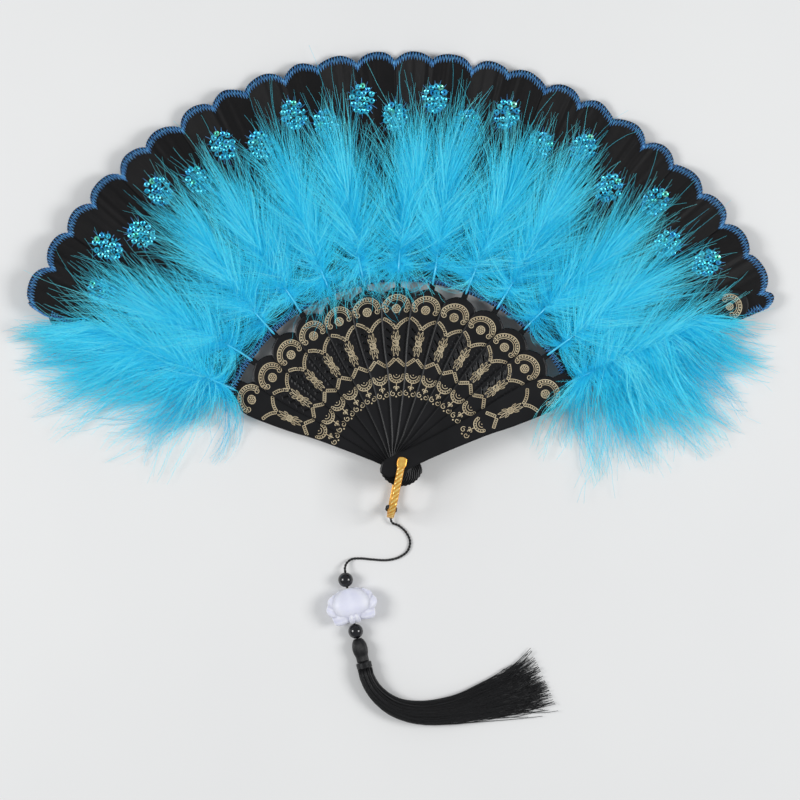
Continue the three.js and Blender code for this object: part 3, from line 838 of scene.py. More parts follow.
    def piece(self, name: str, finishes: Sequence[Finish], turn: Optional[Array] = None,
              smooth: bool = True) -> Piece:
        """Makes the object.

        Args:
            name: The object's name.
            finishes: One finish for each slot used.
            turn: Matrix from the drawn axes to the row frame.
            smooth: Whether faces shade smoothly.

        Returns:
            The object, linked to the scene.
        """
        points = np.concatenate(self._points)
        if turn is not None:
            points = points @ turn.T
        loops = np.concatenate(self._loops)
        sizes = np.concatenate(self._sizes)
        mesh = bpy.data.meshes.new(name)
        mesh.vertices.add(len(points))
        mesh.vertices.foreach_set("co", (points * MM).astype(np.float32).ravel())
        mesh.loops.add(len(loops))
        mesh.loops.foreach_set("vertex_index", loops.astype(np.int32))
        mesh.polygons.add(len(sizes))
        starts = np.concatenate([[0], np.cumsum(sizes)[:-1]])
        mesh.polygons.foreach_set("loop_start", starts.astype(np.int32))
        mesh.polygons.foreach_set("material_index", np.concatenate(self._slots).astype(np.int32))
        mesh.polygons.foreach_set("use_smooth", np.full(len(sizes), smooth))
        if self.keeps_map:
            layer = mesh.uv_layers.new(name=BAKE_MAP)
            layer.uv.foreach_set("vector", np.concatenate(self._maps).astype(np.float32).ravel())
        mesh.update(calc_edges=True)
        for finish in finishes:
            mesh.materials.append(finish.material)
        piece = bpy.data.objects.new(name, mesh)
        bpy.context.scene.collection.objects.link(piece)
        LOG.info("%s: %d faces", name, len(sizes))
        return piece


def settle(piece: Piece, body: str, slot: str, *nodes: str) -> Piece:
    """Puts a piece on its body.

    Args:
        piece: The object.
        body: The body that it moves with.
        slot: The record's material slot; not used.
        nodes: CAD nodes that it stands for.

    Returns:
        The same object.
    """
    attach(piece, body)
    if nodes:
        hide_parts(*nodes)
    return piece


@dataclass(frozen=True)
class FanPlane:
    """The tilted plane of the opened fan, whose normal is the folding axis."""

    turn: Array
    normal: Array

    @classmethod
    def of_joint(cls, name: str) -> "FanPlane":
        """Reads the plane from a folding joint's axis."""
        normal = np.asarray(joint_of(name)["axis"], float)
        roll, pitch = math.asin(normal[0]), math.atan2(normal[1], normal[2])
        turn = Matrix.Rotation(-pitch, 3, "X") @ Matrix.Rotation(roll, 3, "Y")
        return cls(np.array(turn), normal)

    def to_row(self, points: Array) -> Array:
        """Returns fan points in the row frame."""
        return points @ self.turn.T

    def to_fan(self, points: Array) -> Array:
        """Returns row points in the fan's own axes."""
        return points @ self.turn


@dataclass(frozen=True)
class Blade:
    """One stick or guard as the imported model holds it."""

    number: int
    node: str
    body: str
    angle: float
    underside: float
    top: float

    @classmethod
    def read(cls, number: int, node: str, plane: FanPlane) -> "Blade":
        """Measures a blade's direction and faces on its CAD node.

        Args:
            number: Its place, counted from the back guard.
            node: The CAD node.
            plane: The fan's plane.

        Returns:
            The blade.
        """
        local = plane.to_fan(corners_of(node))
        reach = np.hypot(local[:, 0], local[:, 1])
        tip = local[reach > reach.max() - 1.0].mean(axis=0)
        angle = math.atan2(tip[1], tip[0])
        return cls(number, node, f"blade_{number + 1:02d}", angle, local[:, 2].min(), local[:, 2].max())

    @property
    def label(self) -> str:
        """Its two-digit number in the names of pieces."""
        return f"{self.number + 1:02d}"

    def place(self, points: Array) -> Array:
        """Returns points given along, across and above the blade's axis as fan points."""
        along, across, above = np.moveaxis(np.asarray(points, float), -1, 0)
        return joined(*turned(along, across, self.angle), above)


def read_blades(plane: FanPlane) -> List[Blade]:
    """Returns the thirteen blades from the back guard to the front guard."""
    nodes = ["back_guard"] + [f"stick_{k:02d}" for k in range(2, 13)] + ["front_guard"]
    return [Blade.read(number, node, plane) for number, node in enumerate(nodes)]


@dataclass
class Studio:
    """Floor, lights and a camera that looks straight down."""

    view_width: float = 428.0
    view_centre: Pair = (0.0, 34.2)
    camera_height: float = 1700.0
    sensor: float = 36.0
    subject_height: float = 9.0
    floor_half: float = 6000.0
    lamp_place: Triple = (1150.0, 60.0, 1030.0)
    lamp_size: float = 620.0
    lamp_power: float = 12.4
    room_colour: Colour = (0.94, 0.97, 1.0, 1.0)
    room_strength: float = 0.37

    def build(self) -> None:
        """Makes the whole studio."""
        bpy.context.scene.view_settings.view_transform = "Standard"
        self._camera()
        self._floor()
        self._world()
        x, y, z = self.lamp_place
        self._softbox("left_softbox", (-x, y, z))
        self._softbox("right_softbox", (x, y, z))

    def _camera(self) -> None:
        """Sets the camera over the middle of the photograph's frame."""
        lens = bpy.data.cameras.new("camera")
        lens.sensor_width = self.sensor
        lens.lens = self.sensor * (self.camera_height - self.subject_height) / self.view_width
        camera = bpy.data.objects.new("camera", lens)
        x, y = self.view_centre
        camera.location = Vector((x, y, self.camera_height)) * MM
        bpy.context.scene.collection.objects.link(camera)
        bpy.context.scene.camera = camera

    def _floor(self) -> None:
        """Lays the floor at the lowest point of the part."""
        level = CAD_BOX[0].z / MM
        draft = Draft()
        edge = np.linspace(-self.floor_half, self.floor_half, 3)
        x, y = np.meshgrid(edge, edge)
        draft.grid(joined(x, y, np.full_like(x, level)))
        draft.piece("floor", [Finish.FLOOR])

    def _world(self) -> None:
        """Fills the room with even pale light."""
        world = bpy.data.worlds.new("studio")
        world.use_nodes = True
        background = world.node_tree.nodes["Background"]
        background.inputs["Color"].default_value = self.room_colour
        background.inputs["Strength"].default_value = self.room_strength
        bpy.context.scene.world = world

    def _softbox(self, name: str, place: Triple) -> None:
        """Hangs a square lamp at a place so that it faces the fan."""
        lamp = bpy.data.lights.new(name, "AREA")
        lamp.size = self.lamp_size * MM
        lamp.energy = self.lamp_power
        holder = bpy.data.objects.new(name, lamp)
        holder.location = Vector(place) * MM
        aim = Vector((*self.view_centre, 0.0)) * MM - holder.location
        holder.rotation_euler = aim.to_track_quat("-Z", "Y").to_euler()
        bpy.context.scene.collection.objects.link(holder)


@dataclass(frozen=True)
class Petal:
    """A carved petal of the lotus bead.

    tip and root are across and along the bead, half is half its width, depth is its share of the bead's half
    depth, and point is how pointed the tip is, where 0.5 is round.
    """

    tip: Pair
    root: Pair
    half: float
    depth: float
    point: float


@dataclass
class Pendant:
    """Knotted cord, two beads, carved lotus bead and tassel, lying on the table."""

    table: float
    cord_radius: float = 0.7
    cord_lift: float = 0.05
    ply_radius: float = 0.38
    ply_offset: float = 0.33
    lay_length: float = 3.4
    bead_radius: float = 4.0
    bead_bore: float = 1.0
    upper_bead: Pair = (-29.2, -62.3)
    lotus: Pair = (-25.9, -76.0)
    lotus_depth: float = 6.4
    middle_petal: Petal = Petal((0.0, 9.55), (0.0, -8.786), 10.988, 1.0, 0.44)
    side_petals: Tuple[Petal, ...] = (
        Petal((4.958, 9.0725), (1.4, -4.775), 3.6, 0.7, 0.34),
        Petal((9.916, 7.067), (1.2, -6.685), 5.0, 0.68, 0.34),
        Petal((13.199, 2.101), (2.0, -4.775), 4.4, 0.62, 0.4),
        Petal((11.658, -5.157), (-1.5, -4.202), 4.2, 0.72, 0.26),
        Petal((1.6, -9.55), (1.0, -1.91), 2.1, 0.9, 0.34),
    )
    lower_bead: Pair = (-23.8, -89.9)
    tassel_turn: float = -76.0
    head_radius: float = 4.1
    head_length: float = 12.6
    binding_radius: float = 4.2
    binding_length: float = 3.2
    binding_turns: int = 6
    seat_gap: float = 0.3
    thread_radius: float = 0.34
    head_threads: int = 40
    skirt_threads: int = 620
    skirt_locks: int = 26
    skirt_steps: int = 26
    skirt_radii: Pair = (0.25, 0.13)
    cord_route: Tuple[Triple, ...] = (
        (-4.4, -31.4, 1.6), (-0.6, -33.4, 0.25), (3.2, -36.9, 0.0), (5.4, -42.0, 0.0),
        (4.0, -47.0, 0.0), (-0.6, -50.4, 0.0), (-7.0, -51.9, 0.0), (-14.5, -51.6, 0.0),
        (-21.0, -51.0, 0.0), (-26.0, -51.4, 0.3), (-28.8, -53.6, 1.6), (-29.6, -56.4, 2.9),
    )
    skirt_route: Tuple[Pair, ...] = (
        (-13.0, -122.6), (-3.0, -130.4), (10.7, -133.8), (28.0, -132.4),
        (48.2, -127.0), (66.0, -120.6), (78.0, -115.4),
    )
    rng: Chance = field(default_factory=lambda: np.random.default_rng(41))

    @property
    def way(self) -> Array:
        """Direction from the lower bead down the tassel."""
        turn = math.radians(self.tassel_turn)
        return np.array([math.cos(turn), math.sin(turn), 0.0])

    def build(self) -> None:
        """Makes the pendant's pieces."""
        beads = [self._bead("upper_bead", self.upper_bead), self._bead("lower_bead", self.lower_bead)]
        lotus = self._lotus()
        head, binding = self._head(), self._binding()
        self._skirt()
        self._cord()

    def _along(self, distance: float, height: float) -> Array:
        """Returns the point at a distance down the tassel from the lower bead."""
        return np.array([*self.lower_bead, self.table + height]) + self.way * distance

    def _axial(self, points: Array, start: Array) -> Array:
        """Turns points drawn along the first axis to lie down the tassel from a start."""
        side = np.array([-self.way[1], self.way[0], 0.0])
        return start + points[..., :1] * self.way + points[..., 1:2] * side + points[..., 2:] * [0, 0, 1]

    def _cord(self) -> None:
        """Lays the two-ply cord from the ring through the beads to the tassel.
        """
        exit_point = np.asarray(joint_of("pendant_swing")["pos_m"]) / MM
        floor = self.table + self.cord_radius + self.cord_lift
        run = [exit_point] + [(x, y, floor + rise) for x, y, rise in self.cord_route]
        middle = self.table + self.bead_radius
        x, y = self.upper_bead
        run += [(x - 0.2, y + self.bead_radius + self.seat_gap, middle), (x, y, middle)]
        run += [(*self.lotus, middle + 0.6), (*self.lower_bead, middle)]
        run += [self._along(self.bead_radius + 2.0, self.head_radius)]
        path = spline(run, 260)
        draft = Draft()
        phase = length_of(path) * shares(len(path)) * 2 * np.pi / self.lay_length
        way = unit(np.gradient(path, axis=0))
        across = unit(np.cross(way, [0, 0, 1.0]))
        rise = np.cross(across, way)
        for start in (0.0, np.pi):
            swing = np.cos(phase + start)[:, None] * across + np.sin(phase + start)[:, None] * rise
            draft.tubes((path + self.ply_offset * swing)[None], self.ply_radius, 8)
        cord = draft.piece("twisted_cord", [Finish.THREAD])
        settle(cord, "pendant", "thread", "pendant_cord")
        2 * self.cord_radius * MM

    def _bead(self, node: str, place: Pair) -> Piece:
        """Turns one polished bead with a rounded bore.

        Args:
            node: The CAD node that it stands for.
            place: Its middle on the table.

        Returns:
            The bead.
        """
        edge = math.asin(self.bead_bore / self.bead_radius)
        turns = np.linspace(edge, math.pi - edge, 26)
        outer = [(self.bead_radius * math.sin(t), -self.bead_radius * math.cos(t)) for t in turns]
        lip = outer[-1][1]
        bore = [(self.bead_bore * 0.86, lip - 0.25), (self.bead_bore * 0.86, 0.25 - lip)]
        draft = Draft()
        ring = draft.lathe(outer + bore + outer[:1], 40)
        draft.grid(self._axial(ring, np.array([*place, self.table + self.bead_radius])), closed=True)
        bead = draft.piece("glass_" + node, [Finish.BEAD])
        return settle(bead, "pendant", "glass_bead", node)

    def _petal(self, draft: Draft, petal: Petal, side: int) -> None:
        """Adds one carved petal, a lens that is round at its root and pointed at its tip.

        Args:
            draft: Where it is added.
            petal: Its sizes.
            side: 1, or -1 for its twin on the other side of the bead.
        """
        start, end = np.array(petal.root) * [side, 1], np.array(petal.tip) * [side, 1]
        share = (1 - np.cos(np.linspace(0, np.pi, 21))) / 2
        swell = share**0.5 * (1 - share)**petal.point
        width = petal.half * swell / swell.max()
        turn = circle(28)
        spread, lift = np.cos(turn), np.sign(np.sin(turn)) * np.abs(np.sin(turn))**0.62
        crown = self.lotus_depth * petal.depth * np.sin(np.pi * (0.08 + 0.84 * share))**0.7
        crown *= np.where(swell > 0, 1, 0)
        ridge = 1 + 0.05 * np.cos(3 * np.pi * spread)[None, :] * share[:, None]
        flat = start + (end - start) * share[:, None, None]
        flat = flat + left_of(unit(end - start)) * (width[:, None] * spread)[..., None]
        x, y = turned(flat[..., 0], flat[..., 1], math.radians(self.tassel_turn + 90))
        above = self.table + self.lotus_depth + crown[:, None] * lift * ridge
        draft.grid(joined(self.lotus[0] + x, self.lotus[1] + y, above), closed=True)

    def _lotus(self) -> Piece:
        """Carves the lotus bead from overlapping petals, the broad middle one on top."""
        draft = Draft()
        self._petal(draft, self.middle_petal, 1)
        for side in (-1, 1):
            for petal in self.side_petals:
                self._petal(draft, petal, side)
        lotus = draft.piece("carved_lotus", [Finish.FROSTED])
        return settle(lotus, "pendant", "frosted", "lotus_bead")

    def _head(self) -> Piece:
        """Gathers the looped threads of the tassel's head over a core."""
        start = self._along(self.bead_radius + self.seat_gap, self.head_radius)
        share = shares(15)
        belly = self.head_radius * (0.36 + 0.64 * np.sin(np.pi * np.clip(share * 1.12 + 0.02, 0, 1))**0.5)
        belly = np.where(share > 0.55, np.maximum(belly, self.head_radius * 0.8), belly) - 0.35
        lean = circle(self.head_threads)[:, None] + 0.25 * share
        along = np.broadcast_to(share * self.head_length, lean.shape)
        local = joined(along, belly * np.cos(lean), belly * np.sin(lean))
        draft = Draft()
        draft.tubes(self._axial(local, start), self.thread_radius, 6)
        profile = [(0.0, 0.0)] + [(b - 0.1, s * self.head_length) for b, s in zip(belly, share)]
        core = draft.lathe(profile + [(0.0, self.head_length)], 32)
        draft.grid(self._axial(core, start), closed=True)
        head = draft.piece("thread_head", [Finish.THREAD])
        return settle(head, "pendant", "thread", "tassel_head")

    def _binding(self) -> Piece:
        """Winds the binding thread round the tassel's neck."""
        begin = self.bead_radius + 2 * self.seat_gap + self.head_length
        start = self._along(begin, self.binding_radius)
        share = shares(self.binding_turns * 26)
        lean = 2 * np.pi * self.binding_turns * share
        radius = self.binding_radius - 0.36
        along = 0.3 + share * (self.binding_length - 0.6)
        local = joined(along, radius * np.cos(lean), radius * np.sin(lean))
        draft = Draft()
        draft.tubes(self._axial(local, start)[None], self.thread_radius, 7)
        core = draft.lathe([(0, 0), (radius, 0), (radius, self.binding_length), (0, self.binding_length)], 32)
        draft.grid(self._axial(core, start), closed=True)
        binding = draft.piece("wound_binding", [Finish.THREAD])
        return settle(binding, "pendant", "thread", "tassel_binding")

    def _skirt(self) -> None:
        """Combs the tassel's threads round to the right, ragged at their ends."""
        begin = self.bead_radius + 3 * self.seat_gap + self.head_length + self.binding_length
        first = [self._along(begin, 0.0)[:2], self._along(begin + 5.0, 0.0)[:2]]
        middle = spline([*first, *self.skirt_route], 80)
        across = left_of(unit(np.gradient(middle, axis=0)))
        count, steps = self.skirt_threads, self.skirt_steps
        lock = self.rng.integers(0, self.skirt_locks, count)
        lock_turn = self.rng.uniform(0, 2 * np.pi, self.skirt_locks)[lock]
        lock_reach = np.sqrt(self.rng.uniform(0.05, 1, self.skirt_locks))[lock]
        side = np.clip(np.cos(lock_turn) * lock_reach + self.rng.normal(0, 0.2, count), -1.05, 1.05)
        level = np.clip(np.sin(lock_turn) * lock_reach + self.rng.normal(0, 0.25, count), -1, 1)
        end = np.clip(self.rng.normal(0.91, 0.045, count) + 0.05 * np.cos(lock * 2.4), 0.7, 0.995)
        share = shares(steps)[None] * end[:, None]
        spot, run = share * (len(middle) - 1), np.arange(len(middle))
        at, out = sampled(spot, run, middle), sampled(spot, run, across)
        half = lerp(3.5, 5.0, ease(share, 0, 0.4)) + 9.6 * share**2.6
        phase = self.rng.uniform(0, 6, count)[:, None]
        wave = 0.09 * np.sin(share * self.rng.uniform(9, 22, count)[:, None] + phase)
        stray = self.rng.normal(0, 0.2, count)[:, None] * share**2.6
        is_loose = self.rng.random(count) < 0.06
        flyaway = np.where(is_loose, self.rng.normal(0, 0.5, count), 0)[:, None] * share**2
        offset = (side[:, None] + wave * share + stray + flyaway) * half
        rise = lerp(3.6, 1.6, ease(share, 0, 0.9))
        height = self.table + 0.3 + rise * (1 + 0.92 * level[:, None] * (1 - 0.3 * ease(share, 0.3, 1.0)))
        paths = np.concatenate([at + out * offset[..., None], height[..., None]], axis=-1)
        draft = Draft(keeps_map=True)
        draft.tubes(paths, lerp(*self.skirt_radii, shares(steps)), 4, tones=self.rng.random(count))
        skirt = draft.piece("thread_skirt", [Finish.THREAD])
        settle(skirt, "pendant", "thread", "tassel_skirt")


@dataclass
class CarryingRing:
    """Flat gilt strip with raised rims, bent into a U and chased like rope, with the cord's knot on it."""

    plane: FanPlane
    thickness: float = 1.4
    half_width: float = 1.9
    boss_radius: float = 2.6
    reach: float = 30.0
    angle: float = 258.7
    underside: float = 1.5
    topside: float = 23.7
    rope_pitch: float = 2.6
    rope_depth: float = 0.42
    rim_height: float = 0.26
    knot_angle: float = -55.0
    knot_step: float = 0.66
    knot_half: Pair = (1.6, 2.62)
    cord_radius: float = 0.62
    coil_turns: int = 3
    coil_radius: float = 0.95
    coil_from: float = 2.3
    coil_length: float = 1.5
    coil_thread: float = 0.5

    @property
    def bend_radius(self) -> float:
        """Radius of the strip's middle line in the bend."""
        return (self.topside - self.underside - self.thickness) / 2

    @property
    def bend_at(self) -> float:
        """Distance from the rivet to the bend's centre."""
        return self.reach - self.bend_radius - self.thickness / 2

    @property
    def middle(self) -> float:
        """Height of the bend's centre."""
        return (self.topside + self.underside) / 2

    def _turned(self, along: Array, across: Array, above: Array) -> Array:
        """Returns fan points from the ring's own along, across and above."""
        return joined(*turned(along, across, math.radians(self.angle)), above)

    def build(self) -> None:
        """Makes the ring and the knot."""
        self._strip()
        self._knot()

    def _strip(self) -> None:
        """Sweeps the strip from its front end over the bend to its back end."""
        leg = self.bend_at + self.boss_radius
        total = 2 * leg + math.pi * self.bend_radius
        ends = np.linspace(0, 1.6, 12), np.linspace(total - 1.6, total, 12)
        run = np.concatenate([ends[0], np.linspace(1.7, total - 1.7, 220), ends[1]])
        bend = np.clip((run - leg) / self.bend_radius, 0, math.pi)
        tail = np.clip(run - leg - math.pi * self.bend_radius, 0, None)
        along = np.minimum(run, leg) - self.boss_radius + self.bend_radius * np.sin(bend) - tail
        above = self.middle + self.bend_radius * np.cos(bend)
        out_along, out_above = np.sin(bend), np.cos(bend)
        past_end = np.clip(-along / self.boss_radius, 0, 1)
        round_end = self.boss_radius * np.maximum(1 - past_end**3.2, 0.0001)**(1 / 3.2)
        waist = lerp(self.boss_radius, self.half_width, ease(along, 1.4, 3.4))
        half = np.where(along < 0, round_end, waist)
        turn = circle(36)
        side, front = np.sin(turn), np.cos(turn)
        across = half[:, None] * np.sign(side) * np.abs(side)**0.55
        lift = self.thickness / 2 * np.sign(front) * np.abs(front)**0.5
        is_strip = ease(along, 2.2, 3.6)[:, None]
        twist = np.pi * (run[:, None] + 1.15 * across) / self.rope_pitch
        strand = np.abs(np.sin(twist)) + 0.25 * np.abs(np.sin(3 * twist + 0.6))
        facing = np.clip(front, 0, 1)[None]**0.5
        rim = np.exp(-((np.abs(side)**0.55 - 0.83) / 0.08)**2)[None]
        chased = (strand - 0.95) * self.rope_depth * (1 - 0.8 * rim) + self.rim_height * rim
        lift = lift + chased * facing * is_strip
        points = self._turned(along[:, None] + out_along[:, None] * lift, across,
                              above[:, None] + out_above[:, None] * lift)
        draft = Draft()
        draft.grid(points, closed=True)
        ring = draft.piece("gilt_ring", [Finish.GILT], self.plane.turn)
        settle(ring, "ring_link", "gilt", "ring")

    def _over_bend(self, radius: Array, angle: Array, across: Array) -> Array:
        """Returns fan points at radii and angles round the bend's centre."""
        along, above = self.bend_at + radius * np.cos(angle), self.middle + radius * np.sin(angle)
        return self._turned(along, across, above)

    def _knot(self) -> None:
        """Ties the cord round the bend with two turns and a small barrel knot."""
        lean = math.radians(self.knot_angle)
        draft = Draft()
        turn = np.linspace(0, 2 * np.pi, 41)
        for step in (-self.knot_step, self.knot_step):
            bend = lean + step / self.bend_radius
            radius = self.bend_radius + self.knot_half[0] * np.cos(turn)
            loop = self._over_bend(radius, bend, self.knot_half[1] * np.sin(turn))
            draft.tubes(loop[None], self.cord_radius, 8)
        spin = np.linspace(0, 2 * np.pi * self.coil_turns, 60)
        radius = self.bend_radius + self.coil_from + np.linspace(0, self.coil_length, 60)
        slant = lean + self.coil_radius * np.cos(spin) / self.bend_radius
        coil = self._over_bend(radius, slant, self.coil_radius * np.sin(spin))
        draft.tubes(coil[None], self.coil_thread, 7)
        knot = draft.piece("ring_knot", [Finish.THREAD], self.plane.turn)
        settle(knot, "ring_link", "thread", "cord_loop")


class Motif:
    """Strokes of the stamped ornament, drawn along and across a blade's axis."""

    def __init__(self) -> None:
        """Starts with no stroke."""
        self.strokes: List[Tuple[Array, float]] = []
        self.dots: List[Triple] = []

    def line(self, points: Sequence[Sequence[float]], half: float) -> None:
        """Adds a stroke through points, with half its width."""
        self.strokes.append((np.asarray(points, float), half))

    def arc(self, centre: Pair, radius: Union[float, Array], start: float, end: float,
            half: float, steps: int) -> None:
        """Adds a round stroke between two angles in degrees, counted from outward along the blade."""
        turn = np.radians(np.linspace(start, end, steps))
        self.line(np.array(centre) + polar(turn, radius), half)

    def spiral(self, centre: Pair, radii: Pair, start: float, end: float) -> None:
        """Adds a curl whose radius runs between two values."""
        self.arc(centre, np.linspace(*radii, 20), start, end, 0.18, 20)

    def beads(self, at: float, radius: float, turns: Array, size: float) -> None:
        """Adds dots at angles in degrees round a centre on the axis."""
        self.dots.extend((at + x, y, size) for x, y in polar(np.radians(turns), radius))

    def band(self, points: Sequence[Sequence[float]], width: float, cells: int) -> None:
        """Adds a double-lined band with a row of cells in it.

        Args:
            points: The band's middle line.
            width: Its width between the two lines.
            cells: How many dots lie in it.
        """
        middle = spline(points, 17)
        side = left_of(unit(np.gradient(middle, axis=0))) * width / 2
        edge = np.vstack([middle + side, (middle - side)[::-1], (middle + side)[:1]])
        self.line(edge, 0.19)
        spots = spline(points, cells + 2)[1:-1]
        self.dots.extend((x, y, width * 0.24) for x, y in spots)

    def crescent(self, at: float, radius: float, thick: float, cells: int) -> None:
        """Adds a crescent with a beaded rim and curled horns, open towards the rivet.

        Args:
            at: Its centre along the blade.
            radius: Its outer radius.
            thick: Depth of its beaded rim.
            cells: How many beads lie in the rim.
        """
        span = 95
        self.arc((at, 0), radius, -span, span, 0.23, 36)
        self.arc((at, 0), radius - thick, -span, span, 0.17, 32)
        self.arc((at, 0), radius - thick - 0.95, -84, 84, 0.14, 26)
        middle = radius - thick / 2
        self.beads(at, middle, np.linspace(-span + 7, span - 7, cells), thick * 0.3)
        horn, curl = math.radians(span), 1.5
        for side in (-1, 1):
            reach = middle - curl
            centre = (at + reach * math.cos(horn), side * reach * math.sin(horn))
            self.spiral(centre, (curl, 0.35), side * span, side * (span + 430))

    def rosette(self, at: float, radius: float, petals: int) -> None:
        """Adds a round flower.

        Args:
            at: Its centre along the blade.
            radius: Its outer radius.
            petals: How many small round petals it has.
        """
        self.arc((at, 0), radius, 0, 360, 0.17, 25)
        for x, y in polar(circle(petals), 0.6 * radius):
            self.arc((at + x, y), radius * 0.25, 0, 360, 0.14, 11)
        self.dots.append((at, 0.0, radius * 0.2))

    def leaf(self, base: Pair, tip: Pair, bulge: float) -> None:
        """Adds a pointed leaf's outline.

        Args:
            base: Its lower end, along and across the blade.
            tip: Its upper end.
            bulge: Half its width.
        """
        way = np.array(tip) - np.array(base)
        share = shares(9)[:, None]
        middle = np.array(base) + way * share
        bow = left_of(unit(way)) * bulge * np.sin(np.pi * share)
        self.line(np.vstack([middle + bow, (middle - bow)[::-1]]), 0.13)

    def half_flower(self, at: float, radius: float) -> None:
        """Adds a half flower with a beaded rim, its opening away from the rivet.

        Args:
            at: Its centre along the blade.
            radius: Its outer radius.
        """
        inner = radius - 1.35
        middle = (radius + inner) / 2
        self.arc((at, 0), radius, 88, 272, 0.22, 26)
        self.arc((at, 0), inner, 92, 268, 0.18, 22)
        for side in (-1, 1):
            self.line([(at, side * radius), (at + 0.5, side * middle), (at, side * inner)], 0.17)
        self.beads(at, middle, np.linspace(102, 258, 8), 0.36)
        self.arc((at + 0.2, 0), radius * 0.4, 100, 260, 0.16, 14)
        self.dots.append((at + 0.1, 0.0, 0.34))


@dataclass
class Sticks:
    """Moulded sticks and guards with their stamped print and raised relief."""

    plane: FanPlane
    blades: Sequence[Blade]
    print_height: float = 0.05
    dot_rise: float = 0.03
    sunk: float = 0.04
    rim_height: float = 0.17
    rim_width: float = 0.9
    slot_rim_height: float = 0.11
    slot_rim_width: float = 0.56
    slot_perimeter: float = 15.0
    tip_scroll_at: float = 196.0
    first_slot: float = 57.5
    slot_step: float = 4.4
    slots: int = 5
    flank_slant: float = 52.0
    slot_edge: float = 3.1
    bar_foot: float = 0.45
    bar_crown: float = 0.06
    bar_bevel: float = 0.3
    long_bar: float = 1.35
    short_bar: float = 0.95
    bar_row_gap: float = 2.75
    print_centring: float = 0.8
    print_lift: float = 0.4
    guard_lifts: Pair = (4.6, 2.6)
    plate_at: Tuple[float, ...] = (14, 46, 62, 85, 90)
    plate_half: Tuple[float, ...] = (4.85, 6.5, 8.4, 9.6, 9.2)

    @property
    def last(self) -> int:
        """Number of the front guard."""
        return len(self.blades) - 1

    def build(self) -> None:
        """Prints and dresses every blade."""
        for blade in self.blades:
            self._coat(blade.node, Finish.LACQUER)
            self._print(blade)
            self._relief(blade)
        for node in ("rivet_pin", "rivet_back_cap"):
            self._coat(node, Finish.STEEL)

    def _coat(self, node: str, finish: Finish) -> None:
        """Gives a CAD node its finish."""
        for slot in frame["nodes"][node].material_slots:
            slot.material = finish.material

    def _motif(self, lift: float) -> Motif:
        """Draws the ornament of one plate.

        Args:
            lift: How far its upper part moves outward.

        Returns:
            The strokes.
        """
        motif = Motif()
        motif.crescent(82.0 + lift, 7.7, 1.75, 15)
        motif.rosette(82.1 + lift, 2.2, 6)
        for side in (-1, 1):
            arm = [(71.9, side * 0.3), (74.1, side * 1.9), (75.9, side * 4.1), (77.2, side * 6.6)]
            motif.band(arm, 1.35, 6)
            motif.band([(55.6, side * 0.6), (53.7, side * 2.6), (51.9, side * 4.5)], 1.4, 4)
            motif.leaf((66.0, side * 0.3), (70.9, side * 1.1), 0.55)
            motif.leaf((65.2, side * 1.2), (68.2, side * 2.2), 0.4)
            motif.leaf((62.2, side * 0.3), (57.1, side * 1.1), 0.55)
            motif.leaf((63.0, side * 1.2), (59.9, side * 2.2), 0.4)
            motif.spiral((37.0, side * 1.75), (1.6, 0.35), side * 20, side * 420)
            motif.spiral((40.2, side * 1.0), (0.85, 0.25), side * 200, side * 520)
        motif.rosette(64.1, 1.6, 6)
        motif.half_flower(47.0, 4.2)
        motif.line([(42.6, 0), (38.4, 0)], 0.2)
        motif.dots.append((35.4, 0.0, 0.5))
        return motif

    def _scroll_at_tip(self) -> Motif:
        """Draws the single crescent near the front guard's tip."""
        motif = Motif()
        motif.crescent(self.tip_scroll_at - 1.8, 6.7, 1.75, 13)
        motif.rosette(self.tip_scroll_at - 1.6, 1.9, 6)
        return motif

    def _shift(self, blade: Blade, along: Array) -> Array:
        """Centres the print on what the next blade leaves bare.

        Args:
            blade: The blade.
            along: Places along it.

        Returns:
            How far the print lies to the left there.
        """
        if blade.number == self.last:
            return np.zeros_like(along)
        pitch = self.blades[0].angle - self.blades[1].angle
        return self.print_centring * (self._half_width(along) - along * pitch / 2)

    def _stamp(self, draft: Draft, motif: Motif, blade: Blade) -> None:
        """Adds a motif's strokes as thin raised foil on a blade's top.

        Args:
            draft: Where they are added.
            motif: The strokes.
            blade: The blade.
        """
        low, high = blade.top - self.sunk, blade.top + self.print_height
        for points, half in motif.strokes:
            line = points + joined(np.zeros(len(points)), self._shift(blade, points[:, 0]))
            side = left_of(unit(np.gradient(line, axis=0))) * half
            rows = [(line + side, low), (line + side, high), (line - side, high), (line - side, low)]
            section = [raised(edge, level) for edge, level in rows]
            draft.grid(blade.place(np.stack(section, axis=1)), closed=True)
        for x, y, radius in motif.dots:
            middle = np.array([x, y + float(self._shift(blade, np.array(x)))])
            edge = middle + polar(circle(8), radius)
            self._cap(draft, blade, raised(edge, low), raised(lerp(middle, edge, 0.8), high + self.dot_rise))

    @staticmethod
    def _cap(draft: Draft, blade: Blade, foot: Array, top: Array) -> None:
        """Adds a small bevelled stud.

        Args:
            draft: Where it is added.
            blade: The blade.
            foot: Its lower edge, along, across and above the blade.
            top: Its upper edge, which bounds its flat face.
        """
        draft.grid(blade.place(np.stack([foot, top])), closed=True)
        draft.add(blade.place(top), np.array([np.arange(len(top))]))

    def _print(self, blade: Blade) -> None:
        """Stamps one blade's ornament."""
        draft = Draft()
        lifts = {0: self.guard_lifts[0], self.last: self.guard_lifts[1]}
        self._stamp(draft, self._motif(lifts.get(blade.number, self.print_lift)), blade)
        if blade.number == self.last:
            self._stamp(draft, self._scroll_at_tip(), blade)
        piece = draft.piece(f"print_{blade.label}", [Finish.PRINT], self.plane.turn, False)
        settle(piece, blade.body, "gilt")

    def _half_width(self, along: Array) -> Array:
        """Returns the plate's half width along it."""
        return np.interp(along, self.plate_at, self.plate_half)

